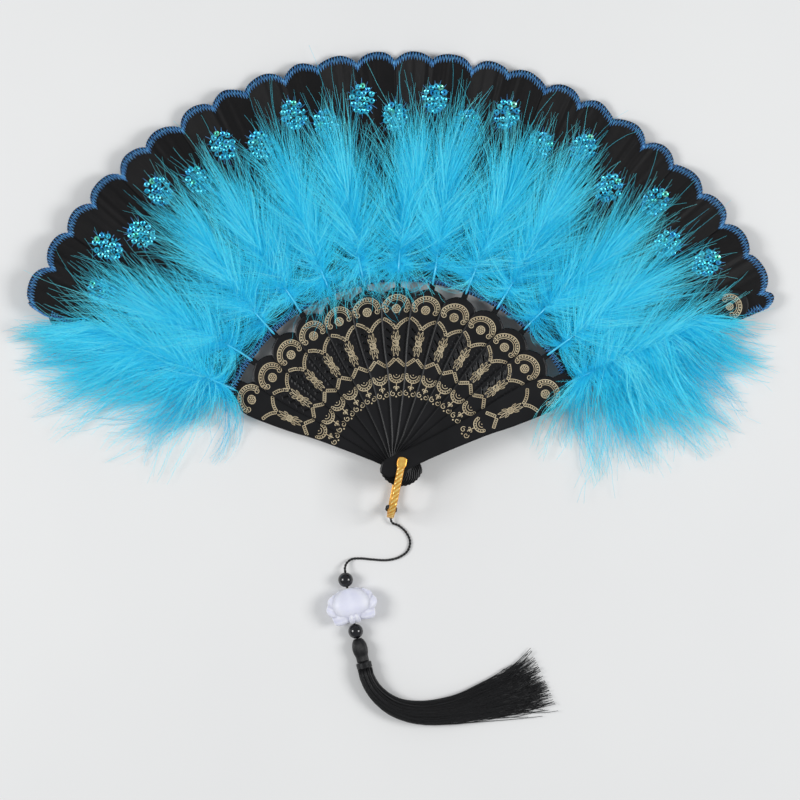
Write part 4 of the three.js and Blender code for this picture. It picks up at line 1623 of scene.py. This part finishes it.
    def _outlines(self, blade: Blade) -> List[Array]:
        """Traces the closed edges of a blade's top face.

        Args:
            blade: The blade.

        Returns:
            Each edge's points along and across the blade, the face on their left.
        """
        corners = self.plane.to_fan(corners_of(blade.node))
        flat = joined(*turned(corners[:, 0], corners[:, 1], -blade.angle))
        spots, same = np.unique(np.round(flat, 2), axis=0, return_inverse=True)
        same = same.ravel()
        is_top = corners[:, 2] > blade.top - 0.02
        edges = set()
        for polygon in frame["nodes"][blade.node].data.polygons:
            ring = list(polygon.vertices)
            if all(is_top[k] for k in ring):
                edges.update((same[a], same[b]) for a, b in zip(ring, ring[1:] + ring[:1]))
        follow = {a: b for a, b in sorted(edges) if (b, a) not in edges}
        loops = []
        while follow:
            loop, after = [], next(iter(follow.values()))
            while after in follow:
                loop.append(spots[after])
                after = follow.pop(after)
            if len(loop) > 2:
                loops.append(np.array(loop))
        return loops

    def _relief(self, blade: Blade) -> None:
        """Raises a rim along every edge of a blade's face and, on inner sticks, bars between the slots."""
        draft = Draft()
        for loop in self._outlines(blade):
            self._rim(draft, blade, loop)
        if blade.number not in (0, self.last):
            for side in (-1, 1):
                for row in range(self.slots * 2 - 1):
                    x = self.first_slot + row * self.slot_step / 2
                    y = side * (self._half_width(x) - self.slot_edge)
                    if row % 2:
                        self._bar(draft, blade, (x, y), side, self.long_bar)
                    self._bar(draft, blade, (x, y - side * self.bar_row_gap), side, self.short_bar)
        piece = draft.piece(f"relief_{blade.label}", [Finish.LACQUER], self.plane.turn, False)
        settle(piece, blade.body, "lacquer")

    def _rim(self, draft: Draft, blade: Blade, loop: Array) -> None:
        """Adds a low ridge just inside one closed edge.

        Args:
            draft: Where it is added.
            blade: The blade.
            loop: The edge, along and across the blade, with the face on its left.
        """
        before, after = unit(loop - np.roll(loop, 1, axis=0)), unit(np.roll(loop, -1, axis=0) - loop)
        way = unit(before + after)
        inward = left_of(way) / np.maximum((way * after).sum(-1, keepdims=True), 0.6)
        is_slot = length_of(np.vstack([loop, loop[:1]])) < self.slot_perimeter
        width = self.slot_rim_width if is_slot else self.rim_width
        height = self.slot_rim_height if is_slot else self.rim_height
        profile = ((0.04, -self.sunk), (0.5, height), (1.0, -self.sunk))
        rows = [raised(loop + inward * width * share, blade.top + level) for share, level in profile]
        draft.grid(blade.place(np.stack(rows)), closed=True)

    def _bar(self, draft: Draft, blade: Blade, middle: Pair, side: int, half: float) -> None:
        """Adds one slanted bar with low bevelled flanks.

        Args:
            draft: Where it is added.
            blade: The blade that carries it.
            middle: Its middle along and across the blade.
            side: Which flank it lies on.
            half: Half its length.
        """
        way = polar(math.radians(self.flank_slant) * side, 1.0)
        corners = np.array([(-1, -1), (1, -1), (1, 1), (-1, 1)])
        axes = np.stack([way, left_of(way)])
        foot = np.array(middle) + corners * [half, self.bar_foot] @ axes
        crown = np.array(middle) + corners * [half - self.bar_bevel, self.bar_crown] @ axes
        high = blade.top + self.slot_rim_height + self.dot_rise
        self._cap(draft, blade, raised(foot, blade.top - self.sunk), raised(crown, high))


@dataclass
class Leaf:
    """Black satin leaf, pleated between the blades, with stitched edges and sequin clusters."""

    plane: FanPlane
    blades: Sequence[Blade]
    inner: float = 97.0
    cusp: float = 214.0
    crest: float = 221.0
    thickness: float = 0.3
    seat_gap: float = 0.3
    rib: float = 0.6
    left_margin: float = 1.3
    right_margin: float = 2.6
    pleat_inner: float = 1.2
    pleat_outer: float = 3.4
    last_pleat: float = 0.72
    roundness: float = 0.6
    uneven: float = 1.3
    end_rounding: Pair = (14.0, 8.0)
    hem_width: float = 4.3
    inner_hem: float = 3.8
    stitch_pitch: float = 0.8
    thread_radius: float = 0.22
    overhang: float = 0.3
    cut_share: float = 0.95
    hinge_radius: float = 115.0
    sequin_profile: Tuple[Pair, ...] = (
        (1.55, 0.42), (1.1, 0.1), (0.5, 0.0), (0.5, -0.06), (1.1, 0.03), (1.58, 0.36),
    )
    sequin_rings: Tuple[Tuple[int, float], ...] = ((6, 2.9), (12, 5.6))
    cluster_stitches: int = 16
    outer_row: Tuple[Pair, ...] = (
        (143.7, 195), (131.7, 195), (119.4, 195), (107.2, 195), (96.2, 196),
        (84.7, 196), (73.2, 195), (60.0, 195), (45.9, 195), (33.2, 195),
    )
    inner_row: Tuple[Pair, ...] = (
        (150.2, 184), (138.7, 185), (125.7, 186), (113.9, 186), (102.5, 186),
        (91.0, 186), (79.1, 185), (66.5, 185), (53.0, 184), (39.4, 184),
    )
    rng: Chance = field(default_factory=lambda: np.random.default_rng(12))

    def __post_init__(self) -> None:
        """Works out the leaf's seats on the blades and the pitch between them."""
        self.last = len(self.blades) - 1
        self.pitch = (self.blades[0].angle - self.blades[-1].angle) / self.last
        self.seats = np.array([blade.underside + self.rib + self.seat_gap for blade in self.blades])
        self.seats[0] = self.blades[0].top + self.seat_gap
        self.seats[-1] = self.blades[-1].underside - self.seat_gap - 0.35
        self.margins = [math.radians(margin) / self.pitch for margin in (self.left_margin, self.right_margin)]

    def height(self, number: Array, radius: Array) -> Array:
        """Works out the pleated underside.

        Args:
            number: Blade numbers, with fractions between blades.
            radius: Radii.

        Returns:
            Its height there.
        """
        held = np.clip(number, 0, self.last)
        gore = np.minimum(np.floor(held), self.last - 1).astype(int)
        share = held - gore
        extent = np.where(gore == self.last - 1, self.last_pleat, 1.0)
        slope = np.abs(2 * share / extent - 1)
        pleat = np.clip(1 - np.sqrt(slope**2 + 0.012), 0, None)
        outward = (radius - self.inner) / (self.crest - self.inner)
        rise = extent * lerp(self.pleat_inner, self.pleat_outer, outward)
        return lerp(self.seats[gore], self.seats[gore + 1], share) + pleat * rise

    def outer(self, number: Array) -> Array:
        """Works out the scalloped edge.

        Args:
            number: Blade numbers, with fractions.

        Returns:
            Its radius there.
        """
        left, right = self.margins
        fall = self.end_rounding[0] * np.clip(-number / left, 0, 1)**3
        fall = fall + self.end_rounding[1] * np.clip((number - self.last) / right, 0, 1)**3
        drift = 0.02 * np.sin(5.1 * number + 0.7) + 0.012 * np.sin(11.3 * number + 2.1)
        scallop = np.abs(np.sin(2 * np.pi * (number + drift)))**self.roundness
        cusp = self.cusp + self.uneven * (1 + np.sin(7.7 * number + 1.0))
        return lerp(cusp, self.crest, scallop) - fall

    def point(self, number: Array, radius: Array, lift: Array) -> Array:
        """Places points on the leaf.

        Args:
            number: Blade numbers, with fractions.
            radius: Radii.
            lift: Heights above the underside.

        Returns:
            Fan points.
        """
        number, radius, lift = np.broadcast_arrays(number, radius, lift)
        angle = self.blades[0].angle - number * self.pitch
        above = self.height(number, radius) + self.ripple(number, radius) + lift
        return np.concatenate([polar(angle, radius), above[..., None]], axis=-1)

    def ripple(self, number: Array, radius: Array) -> Array:
        """Works out the loose cloth's small radial folds.

        Args:
            number: Blade numbers, with fractions.
            radius: Radii.

        Returns:
            Their height there, which is 0 where a rib holds the cloth.
        """
        free = np.sin(np.pi * np.clip(number, 0, self.last))**2
        outward = ease(radius, 120, 205)
        fine = np.sin(number * 41 + radius * 0.02) + 0.6 * np.sin(number * 67 - radius * 0.035 + 1.3)
        return free * (0.12 + 0.3 * outward) * (fine * 0.5 + 0.8)

    def span(self, gore: int) -> Pair:
        """Returns the blade numbers between which one gore lies."""
        first = -self.margins[0] if gore == 0 else gore
        return first, self.last + self.margins[1] if gore == self.last - 1 else gore + 1

    def build(self) -> None:
        """Makes every gore with its stitching and sequins."""
        clusters = self._clusters()
        for gore in range(self.last):
            extras = [self._stitches(gore)]
            if clusters[gore]:
                extras.append(self._sequins(gore, clusters[gore]))
            self._cloth(gore)

    def _bend(self, piece: Piece, gore: int) -> None:
        """Works out the ends of the gore's crease between its two blades, which nothing uses, and bakes the
        piece's placement into its mesh.

        Args:
            piece: The object.
            gore: The gore that it belongs to.
        """
        ends = self.point(np.array([gore + 0.5, gore + 1.0]), self.hinge_radius, 0.0)
        start, end = self.plane.to_row(ends) * MM
        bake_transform(piece)

    def _cloth(self, gore: int) -> None:
        """Makes one gore of the satin sheet.

        Args:
            gore: Its number.
        """
        first, end = self.span(gore)
        number = np.linspace(first, end, 49)[None]
        share = shares(46)[:, None]
        radius = lerp(self.inner, self.outer(number), share)
        top = self.point(number, radius, self.thickness)
        bottom = self.point(number, radius, 0.0)
        draft = Draft()
        draft.slab(top[:, ::-1], bottom[:, ::-1])
        piece = draft.piece(f"satin_gore_{gore + 1:02d}", [Finish.SATIN], self.plane.turn)
        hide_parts(f"leaf_gore_{gore + 1:02d}")
        self._bend(piece, gore)
        side, climb = top[1:, :-1] - top[:-1, :-1], top[:-1, 1:] - top[:-1, :-1]
        area = float(np.linalg.norm(np.cross(side, climb), axis=-1).sum()) * MM**2
        wide = max(length_of(row) for row in (top[0], top[-1])) * MM
        deep = (self.crest - self.inner) * MM
        flat = (round(max(wide, area / self.cut_share / deep), 4), deep)

    def _zigzag(self, draft: Draft, rim: Array, foot: Array) -> None:
        """Sews a zigzag between two lines of leaf places, on the face and on the back.

        Args:
            draft: Where it is added.
            rim: Blade number and radius at each stitch's outer end.
            foot: The same at its inner end.
        """
        ends = np.where((np.arange(len(rim)) % 2 == 0)[:, None], rim, foot)
        middles = (ends[:-1] + ends[1:]) / 2
        places = np.empty((2 * len(ends) - 1, 2))
        places[0::2], places[1::2] = ends, middles
        for low, high in ((self.thickness + 0.05, self.thickness + 0.26), (-0.05, -0.22)):
            lift = np.where(np.arange(len(places)) % 2 == 0, low, high)
            path = self.point(places[:, 0], places[:, 1], lift)
            draft.tubes(path[None], self.thread_radius, 5)

    def _stitches(self, gore: int) -> Piece:
        """Overcasts the outer and inner edges, and the leaf's two ends, in blue thread.

        Args:
            gore: The gore's number.

        Returns:
            The stitching.
        """
        first, end = self.span(gore)
        draft = Draft()
        fine = np.linspace(first, end, 400)
        for is_outer in (True, False):
            radius = self.outer(fine) if is_outer else np.full_like(fine, self.inner)
            run = run_of(self.point(fine, radius, 0.0))
            count = int(run[-1] / self.stitch_pitch)
            number = np.interp(np.linspace(0.2, run[-1] - 0.2, count), run, fine)
            width, sign = (self.hem_width, 1) if is_outer else (self.inner_hem, -1)
            ragged = self.rng.normal(0, 0.18, (2, count))
            edge = self.outer(number) if is_outer else np.full(count, self.inner)
            rim = joined(number, edge + sign * (self.overhang + 0.4 * ragged[0]))
            foot = joined(number, edge - sign * (width + ragged[1]))
            self._zigzag(draft, rim, foot)
        for is_end, number, sign in ((gore == 0, first, -1), (gore == self.last - 1, end, 1)):
            if is_end:
                radius = np.arange(self.inner + 3, self.outer(np.array(number)) - 2, self.stitch_pitch)
                ragged = self.rng.normal(0, 0.15, radius.size)
                out, back = sign * self.overhang, sign * (self.inner_hem + ragged)
                rim = joined(number + out / (radius * self.pitch), radius)
                foot = joined(number - back / (radius * self.pitch), radius)
                self._zigzag(draft, rim, foot)
        piece = draft.piece(f"hem_stitch_{gore + 1:02d}", [Finish.STITCH], self.plane.turn)
        self._bend(piece, gore)
        return piece

    def _clusters(self) -> List[List[Pair]]:
        """Returns the sequin clusters of each gore as blade number and radius."""
        found: List[List[Pair]] = [[] for _ in range(self.last)]
        for angle, radius in self.outer_row + self.inner_row:
            number = (self.blades[0].angle - math.radians(angle)) / self.pitch
            found[min(max(int(number), 0), self.last - 1)].append((number, radius))
        return found

    def _sequins(self, gore: int, clusters: Sequence[Pair]) -> Piece:
        """Sews ring sequins in ovals, with short stitches round each oval.

        Args:
            gore: The gore that carries them.
            clusters: Blade number and radius of each oval's middle.

        Returns:
            The piece.
        """
        draft = Draft()
        for number, radius in clusters:
            self._cluster(draft, number, radius)
        piece = draft.piece(f"sequins_{gore + 1:02d}", [Finish.SEQUIN, Finish.STITCH], self.plane.turn)
        self._bend(piece, gore)
        return piece

    def _cluster(self, draft: Draft, number: float, radius: float) -> None:
        """Adds one oval of cupped ring sequins and its stitches.

        Args:
            draft: Where it is added.
            number: Blade number of its middle.
            radius: Radius of its middle.
        """
        spots = [(0.0, 0.0)]
        for count, reach in self.sequin_rings:
            spots += list(polar(circle(count, self.rng.random()), reach))
        sequin = np.roll(Draft.lathe(self.sequin_profile, 14), -1, axis=-1)
        for across, along in spots:
            across = across * 0.94 + self.rng.normal(0, 0.28)
            along = along * 1.22 + self.rng.normal(0, 0.28)
            seat = self._spot(number, radius, across, along, self.thickness + self.rng.uniform(0.25, 0.7))
            tilt = self.rng.normal(0, 0.2, 2)
            disc = sequin * self.rng.uniform(0.9, 1.08)
            disc[..., 2] += disc[..., :2] @ tilt
            draft.grid(np.concatenate([disc, disc[:1]])[::-1] + seat, closed=True)
        for turn in circle(self.cluster_stitches, self.rng.random()):
            reach = np.array([5.4, self.rng.uniform(7.9, 9.8)])
            across, along = reach * math.cos(turn) * 0.92, reach * math.sin(turn) * 1.18
            start, end = self._spot(number, radius, across, along, self.thickness + 0.2)
            path = np.stack([start, (start + end) / 2 + [0, 0, 0.15], end])
            draft.tubes(path[None], np.array([0.18, 0.18, 0.11]), 5, slot=1)

    def _spot(self, number: float, radius: float, across: Array, along: Array, lift: float) -> Array:
        """Returns fan points offset on the leaf from a middle, across and along its radius."""
        return self.point(number + across / (radius * self.pitch), radius + along, lift)


class Side(Enum):
    """Which way a plume's barbs lie from its shaft."""

    LEFT = 1
    RIGHT = -1


@dataclass(frozen=True)
class Vane:
    """How a plume's barbs lie, in equal steps from its base to the last of them.

    spread is in degrees from the shaft, reach is their length, sweep is the share of its turn that a barb
    loses on its way out, tip is the radius where the last ones start, and wisp is how much longer than its
    lock a lone barb may be.
    """

    spread: Tuple[float, ...]
    reach: Tuple[float, ...]
    sweep: float
    tip: float
    wisp: float


@dataclass
class Plumage:
    """Thirteen marabou plumes, one on each blade, and the loose down of the two end plumes."""

    plane: FanPlane
    blades: Sequence[Blade]
    leaf: Leaf
    table: float
    quill_start: float = 96.4
    quill_rise: float = 2.3
    fluff_start: float = 104.0
    shaft_tip: float = 154.0
    barbs: int = 1250
    clumps: int = 210
    down_barbs: int = 1950
    down_clumps: int = 150
    steps: int = 10
    barbules: int = 38
    thickness: float = 5.6
    bed: float = 0.9
    tip_rise: float = 1.6
    down_thickness: float = 8.0
    down_tip_rise: float = 1.4
    fall: float = 14.0
    guard_half: float = 8.4
    shaft_lean: float = 12.0
    end_share: float = 0.62
    wisps: float = 0.06
    barb_radii: Pair = (0.15, 0.06)
    barbule_half: float = 0.05
    quill_radii: Pair = (0.7, 0.14)
    squash_at: float = 140.0
    table_gap: float = 0.05
    plume_seed: int = 700
    down_seed: int = 900
    gather: float = 0.75
    tufted: Tuple[int, ...] = (4, 5, 6)
    tuft_clumps: int = 18
    kept_between: float = 0.15
    kept_on_top: float = 0.65
    vane: Vane = Vane((86, 54, 35, 20, 6), (36, 42, 46, 48, 48), 0.6, 154.0, 1.5)
    left_down: Vane = Vane((94, 58, 50, 43, 34), (42, 66, 63, 48, 34), 0.4, 185.0, 1.1)
    right_down: Vane = Vane((128, 103, 94, 88, 74, 36), (52, 60, 61, 58, 48, 34), 0.18, 180.0, 1.12)

    def build(self) -> None:
        """Makes the plumes and the end downs."""
        bare = {0: Side.LEFT, self.leaf.last: Side.RIGHT}
        for blade in self.blades:
            self._plume(blade, [side for side in Side if side is not bare.get(blade.number)])
        self._down(self.blades[0], Side.LEFT, self.left_down, "down_left")
        self._down(self.blades[-1], Side.RIGHT, self.right_down, "down_right")

    def _shaft(self, bend: float, share: Array) -> Array:
        """Places a plume's shaft.

        Args:
            bend: Its sideways lean at its tip.
            share: Shares of its length.

        Returns:
            Places along, across and above its blade.
        """
        along = lerp(self.quill_start, self.shaft_tip, share)
        across = bend * share**2
        above = 0.9 * np.sin(np.pi * np.clip(share * 0.9, 0, 1))
        above = above + self.quill_rise * ease(share, 0.02, 0.14) * (1 - ease(share, 0.17, 0.38))
        return joined(along, across, above)

    def _ground(self, blade: Blade, along: Array, across: Array) -> Array:
        """Finds what a plume lies on.

        Args:
            blade: The plume's blade.
            along: Places along it.
            across: Places across it.

        Returns:
            The height there of the leaf or, near it, of the front guard.
        """
        radius = np.hypot(along, across)
        number = blade.number - np.arctan2(across, along) / self.leaf.pitch
        ground = self.leaf.height(number, np.maximum(radius, 90.0)) + self.leaf.thickness
        from_front = (self.leaf.last - number) * self.leaf.pitch * radius
        over_guard = 1 - ease(np.abs(from_front), self.guard_half, self.guard_half + 6)
        return np.maximum(ground, lerp(ground, self.blades[-1].top, over_guard))

    def _headings(self, rng: Chance, count: int, clumps: int, sides: Sequence[Side],
                  vane: Vane, tufts: int = 0) -> Dict[str, Array]:
        """Draws the barbs' roots, directions and lengths, in clumps that lie together.

        Args:
            rng: The plume's own chance.
            count: How many barbs.
            clumps: How many clumps.
            sides: The sides that carry barbs.
            vane: How the barbs spread and how long they are.
            tufts: How many clumps at the base fall back over the sticks.

        Returns:
            Arrays of one value a barb.
        """
        which = rng.integers(0, clumps, count)
        root = rng.random(clumps)**0.86
        step = shares(len(vane.spread))
        turn = np.interp(root, step, vane.spread) + rng.normal(0, 1, clumps) * lerp(26, 9, root**0.6)
        length = np.interp(root, step, vane.reach) * rng.uniform(0.6, 1.18, clumps)
        is_stray = (root < 0.14) & (rng.random(clumps) < 0.4)
        turn = np.where(is_stray, rng.uniform(105, 175, clumps), turn)
        length = np.where(is_stray, length * 0.62, length)
        side = np.array([side.value for side in sides])[rng.integers(0, len(sides), clumps)]
        is_tuft = np.arange(clumps) < tufts
        root = np.where(is_tuft, root * 0.12, root)
        turn = np.where(is_tuft, rng.uniform(125, 235, clumps), turn)
        length = np.where(is_tuft, rng.uniform(9, 30, clumps), length)
        side = np.where(is_tuft, Side.LEFT.value, side)
        curl = rng.normal(0.0, 0.32, clumps) * (1.7 - root)
        loft = rng.uniform(0.15, 1.0, clumps) * lerp(0.55, 1, ease(root, 0, 0.3))
        tone = rng.random(clumps)
        height = loft[which] * rng.uniform(0.6, 1.15, count)
        is_wisp = rng.random(count) < self.wisps
        return {
            "clump": which,
            "side": side[which],
            "root": np.clip(root[which] + rng.normal(0, 0.025, count), 0, 1),
            "turn": np.radians(turn)[which] + rng.normal(0, 1, count) * lerp(0.26, 0.09, root**0.6)[which],
            "length": length[which] * np.where(is_wisp, rng.uniform(0.9, vane.wisp, count), 1.08),
            "cut": np.where(is_wisp, 1.0, lerp(0.46, 1.0, rng.random(count)**0.8)),
            "astray": np.where(is_tuft[which], rng.normal(0, 4.5, count), 0.0),
            "curl": curl[which] + rng.normal(0, 0.2, count),
            "loft": height,
            # Painted highlight and shade: a barb's tone rises with its height, so the finish colours low barbs
            # darker and high barbs paler; the rest is random tone by clump and by barb.
            "tone": np.clip(tone[which] * 0.7 + height * 0.55 + rng.random(count) * 0.4 - 0.3, 0, 1),
            "sweep": np.where(is_tuft, 0.08, vane.sweep)[which],
            "gather": np.where(is_wisp | is_tuft[which], 0.15, self.gather),
        }

    def _flow(self, rng: Chance, barbs: Dict[str, Array], bend: float,
              vane: Vane) -> Array:
        """Runs the barbs out from the shaft, turning towards its tip and gathering in pointed locks.

        Args:
            rng: The plume's own chance.
            barbs: What _headings gave.
            bend: Sideways lean of the shaft.
            vane: How the barbs lie.

        Returns:
            Places along and across the blade, shaped (barbs, steps, 2).
        """
        count = barbs["root"].size
        share = shares(self.steps)
        radius = lerp(self.fluff_start, vane.tip, barbs["root"])
        start = self._shaft(bend, (radius - self.quill_start) / (self.shaft_tip - self.quill_start))[:, :2]
        start[:, 1] += rng.normal(0, 1.5, count) * ease(barbs["root"], 0, 0.4) + barbs["astray"]
        lean = barbs["turn"][:, None] * (1 - barbs["sweep"][:, None] * share**0.8)
        fuzz = lerp(0.55, 0.1, barbs["root"])[:, None]
        wave = fuzz * np.sin(share * rng.uniform(5, 13, count)[:, None] + rng.uniform(0, 6.3, count)[:, None])
        heading = barbs["side"][:, None] * (lean + barbs["curl"][:, None] * share**1.6) + wave * share
        step = barbs["length"][:, None] / (self.steps - 1)
        moves = polar(heading, step)
        moves[:, 0] = 0
        flat = start[:, None] + np.cumsum(moves, axis=1)
        clump = barbs["clump"]
        lock = np.zeros((clump.max() + 1, self.steps, 2))
        np.add.at(lock, clump, flat)
        lock = lock[clump] / np.bincount(clump)[clump, None, None]
        flat = lerp(flat, lock, barbs["gather"][:, None, None] * share[:, None]**1.5)
        return places_on(flat, barbs["cut"][:, None] * share)[0]

    def _fluff(self, draft: Draft, rng: Chance, paths: Array,
               barbs: Dict[str, Array]) -> None:
        """Adds the barbs with their barbules, which are long and loose on the barbs near the base.

        Args:
            draft: Where they are added.
            rng: The plume's own chance.
            paths: Fan or row points of the barbs, shaped (barbs, steps, 3).
            barbs: What _headings gave.
        """
        count, steps = paths.shape[:2]
        tones, loose_share = barbs["tone"], lerp(1.3, 0.42, barbs["root"]**0.7)[:, None]
        taper = lerp(*self.barb_radii, shares(steps)**0.8)
        draft.tubes(paths, taper * rng.uniform(0.8, 1.15, count)[:, None], 3, tones=tones)
        along = rng.random((count, self.barbules))**1.4 * 0.95
        root, step = places_on(paths, along)
        way = unit(step)
        loose = rng.normal(0, 1, way.shape) * [1, 1, 0.75]
        loose = unit(loose - (loose * way).sum(-1, keepdims=True) * way)
        angle = (rng.uniform(0.5, 1.05, along.shape) * lerp(0.5, 1.0, loose_share))[..., None]
        aim = way * np.cos(angle) + loose * np.sin(angle)
        length = rng.uniform(1.1, 3.5, along.shape) * (1 - 0.75 * along) * loose_share
        tip = root + aim * length[..., None]
        wide = unit(np.cross(aim, rng.normal(0, 1, way.shape))) * self.barbule_half
        triangles = np.stack([root - wide, root + wide, tip], axis=-2).reshape(-1, 3, 3)
        triangles[..., 2] = np.maximum(triangles[..., 2], self._floor_under(triangles))
        column = np.clip(np.repeat(tones, self.barbules) + rng.normal(0, 0.05, count * self.barbules), 0, 1)
        draft.slivers(triangles, column, along.ravel())

    def _floor_under(self, points: Array) -> Array:
        """Returns the lowest height, in the fan's axes, that keeps points above the table."""
        slope = self.plane.turn[2]
        return (self.table + self.table_gap - points[..., :2] @ slope[:2]) / slope[2]

    def _quill(self, draft: Draft, blade: Blade, bend: float) -> None:
        """Adds the shaft with its glossy bare end.

        Args:
            draft: Where it is added.
            blade: The blade that it is glued on.
            bend: Its sideways lean.
        """
        share = shares(26)
        line = self._shaft(bend, share)
        line[:, 2] += self._ground(blade, line[:, 0], line[:, 1]) + 0.45
        radii = lerp(*self.quill_radii, share**0.7)
        radii[0] = 0.3
        draft.tubes(blade.place(line)[None], radii, 8, slot=1)

    def _rise(self, barbs: Dict[str, Array], thickness: Array, tip_rise: float) -> Array:
        """Bows the barbs up from what they lie on.

        Args:
            barbs: What _headings gave.
            thickness: How far the highest barbs bow, one value or one a barb.
            tip_rise: How far their tips stand up.

        Returns:
            Heights, shaped (barbs, steps).
        """
        share = shares(self.steps)[None]
        swell = np.sin(np.pi * np.clip(0.1 + share * 0.86, 0, 1))**0.8
        return self.bed + barbs["loft"][:, None] * (thickness * swell + tip_rise * share)

    def _plume(self, blade: Blade, sides: Sequence[Side]) -> None:
        """Makes one blade's plume.

        Args:
            blade: The blade.
            sides: The sides of its shaft that carry barbs here.
        """
        rng = np.random.default_rng(self.plume_seed + blade.number)
        is_whole = len(sides) == 2
        bend = rng.uniform(-self.shaft_lean, self.shaft_lean) * is_whole
        count = self.barbs if is_whole else int(self.barbs * self.end_share)
        tufts = self.tuft_clumps if blade.number in self.tufted else 0
        barbs = self._headings(rng, count, self.clumps, sides, self.vane, tufts)
        flat = self._flow(rng, barbs, bend, self.vane)
        above = self._rise(barbs, self.thickness * (1 - 0.3 * barbs["root"][:, None]), self.tip_rise)
        ground = self._ground(blade, flat[..., 0], flat[..., 1])
        paths = blade.place(np.concatenate([flat, (ground + above)[..., None]], axis=-1))
        draft = Draft(keeps_map=True)
        self._fluff(draft, rng, paths, barbs)
        self._quill(draft, blade, bend)
        piece = draft.piece(f"plume_{blade.label}", [Finish.MARABOU, Finish.QUILL], self.plane.turn)
        settle(piece, blade.body, "marabou", f"feather_{blade.label}")
        seat = self._ground(blade, np.array(self.squash_at), np.array(0.0))
        anchor = self.plane.to_row(blade.place([self.squash_at, 0.0, float(seat)])) * MM
        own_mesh(piece)

    def _down(self, blade: Blade, side: Side, vane: Vane, node: str) -> None:
        """Makes an end plume's loose down, which falls past its guard to the table.

        Args:
            blade: The guard.
            side: The outer side.
            vane: How its barbs lie.
            node: The CAD node that it stands for.
        """
        rng = np.random.default_rng(self.down_seed + blade.number)
        barbs = self._headings(rng, self.down_barbs, self.down_clumps, [side], vane)
        flat = self._flow(rng, barbs, 0.0, vane)
        above = self._rise(barbs, self.down_thickness, self.down_tip_rise)
        ground = self._ground(blade, flat[..., 0], flat[..., 1])
        guard = blade.place(np.concatenate([flat, ground[..., None]], axis=-1))
        past = np.abs(flat[..., 1]) - self.guard_half
        drop = ease(past, 0.0, self.fall)
        floor = self._floor_under(guard) + 0.15
        guard[..., 2] = lerp(guard[..., 2], floor, drop) + above
        draft = Draft(keeps_map=True)
        self._fluff(draft, rng, guard, barbs)
        piece = draft.piece("marabou_" + node, [Finish.MARABOU], self.plane.turn)
        settle(piece, blade.body, "marabou", node)


def main() -> None:
    """Builds the studio and dresses the fan."""
    logging.basicConfig(level=logging.INFO, format="%(message)s")
    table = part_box("rivet_back_cap")[0].z / MM
    plane = FanPlane.of_joint("fold_02")
    blades = read_blades(plane)
    leaf = Leaf(plane, blades)
    for assembly in (
        Studio(),
        Pendant(table),
        CarryingRing(plane),
        Sticks(plane, blades),
        leaf,
        Plumage(plane, blades, leaf, table),
    ):
        LOG.info("building %s", type(assembly).__name__)
        assembly.build()


if __name__ == "__main__":
    main()
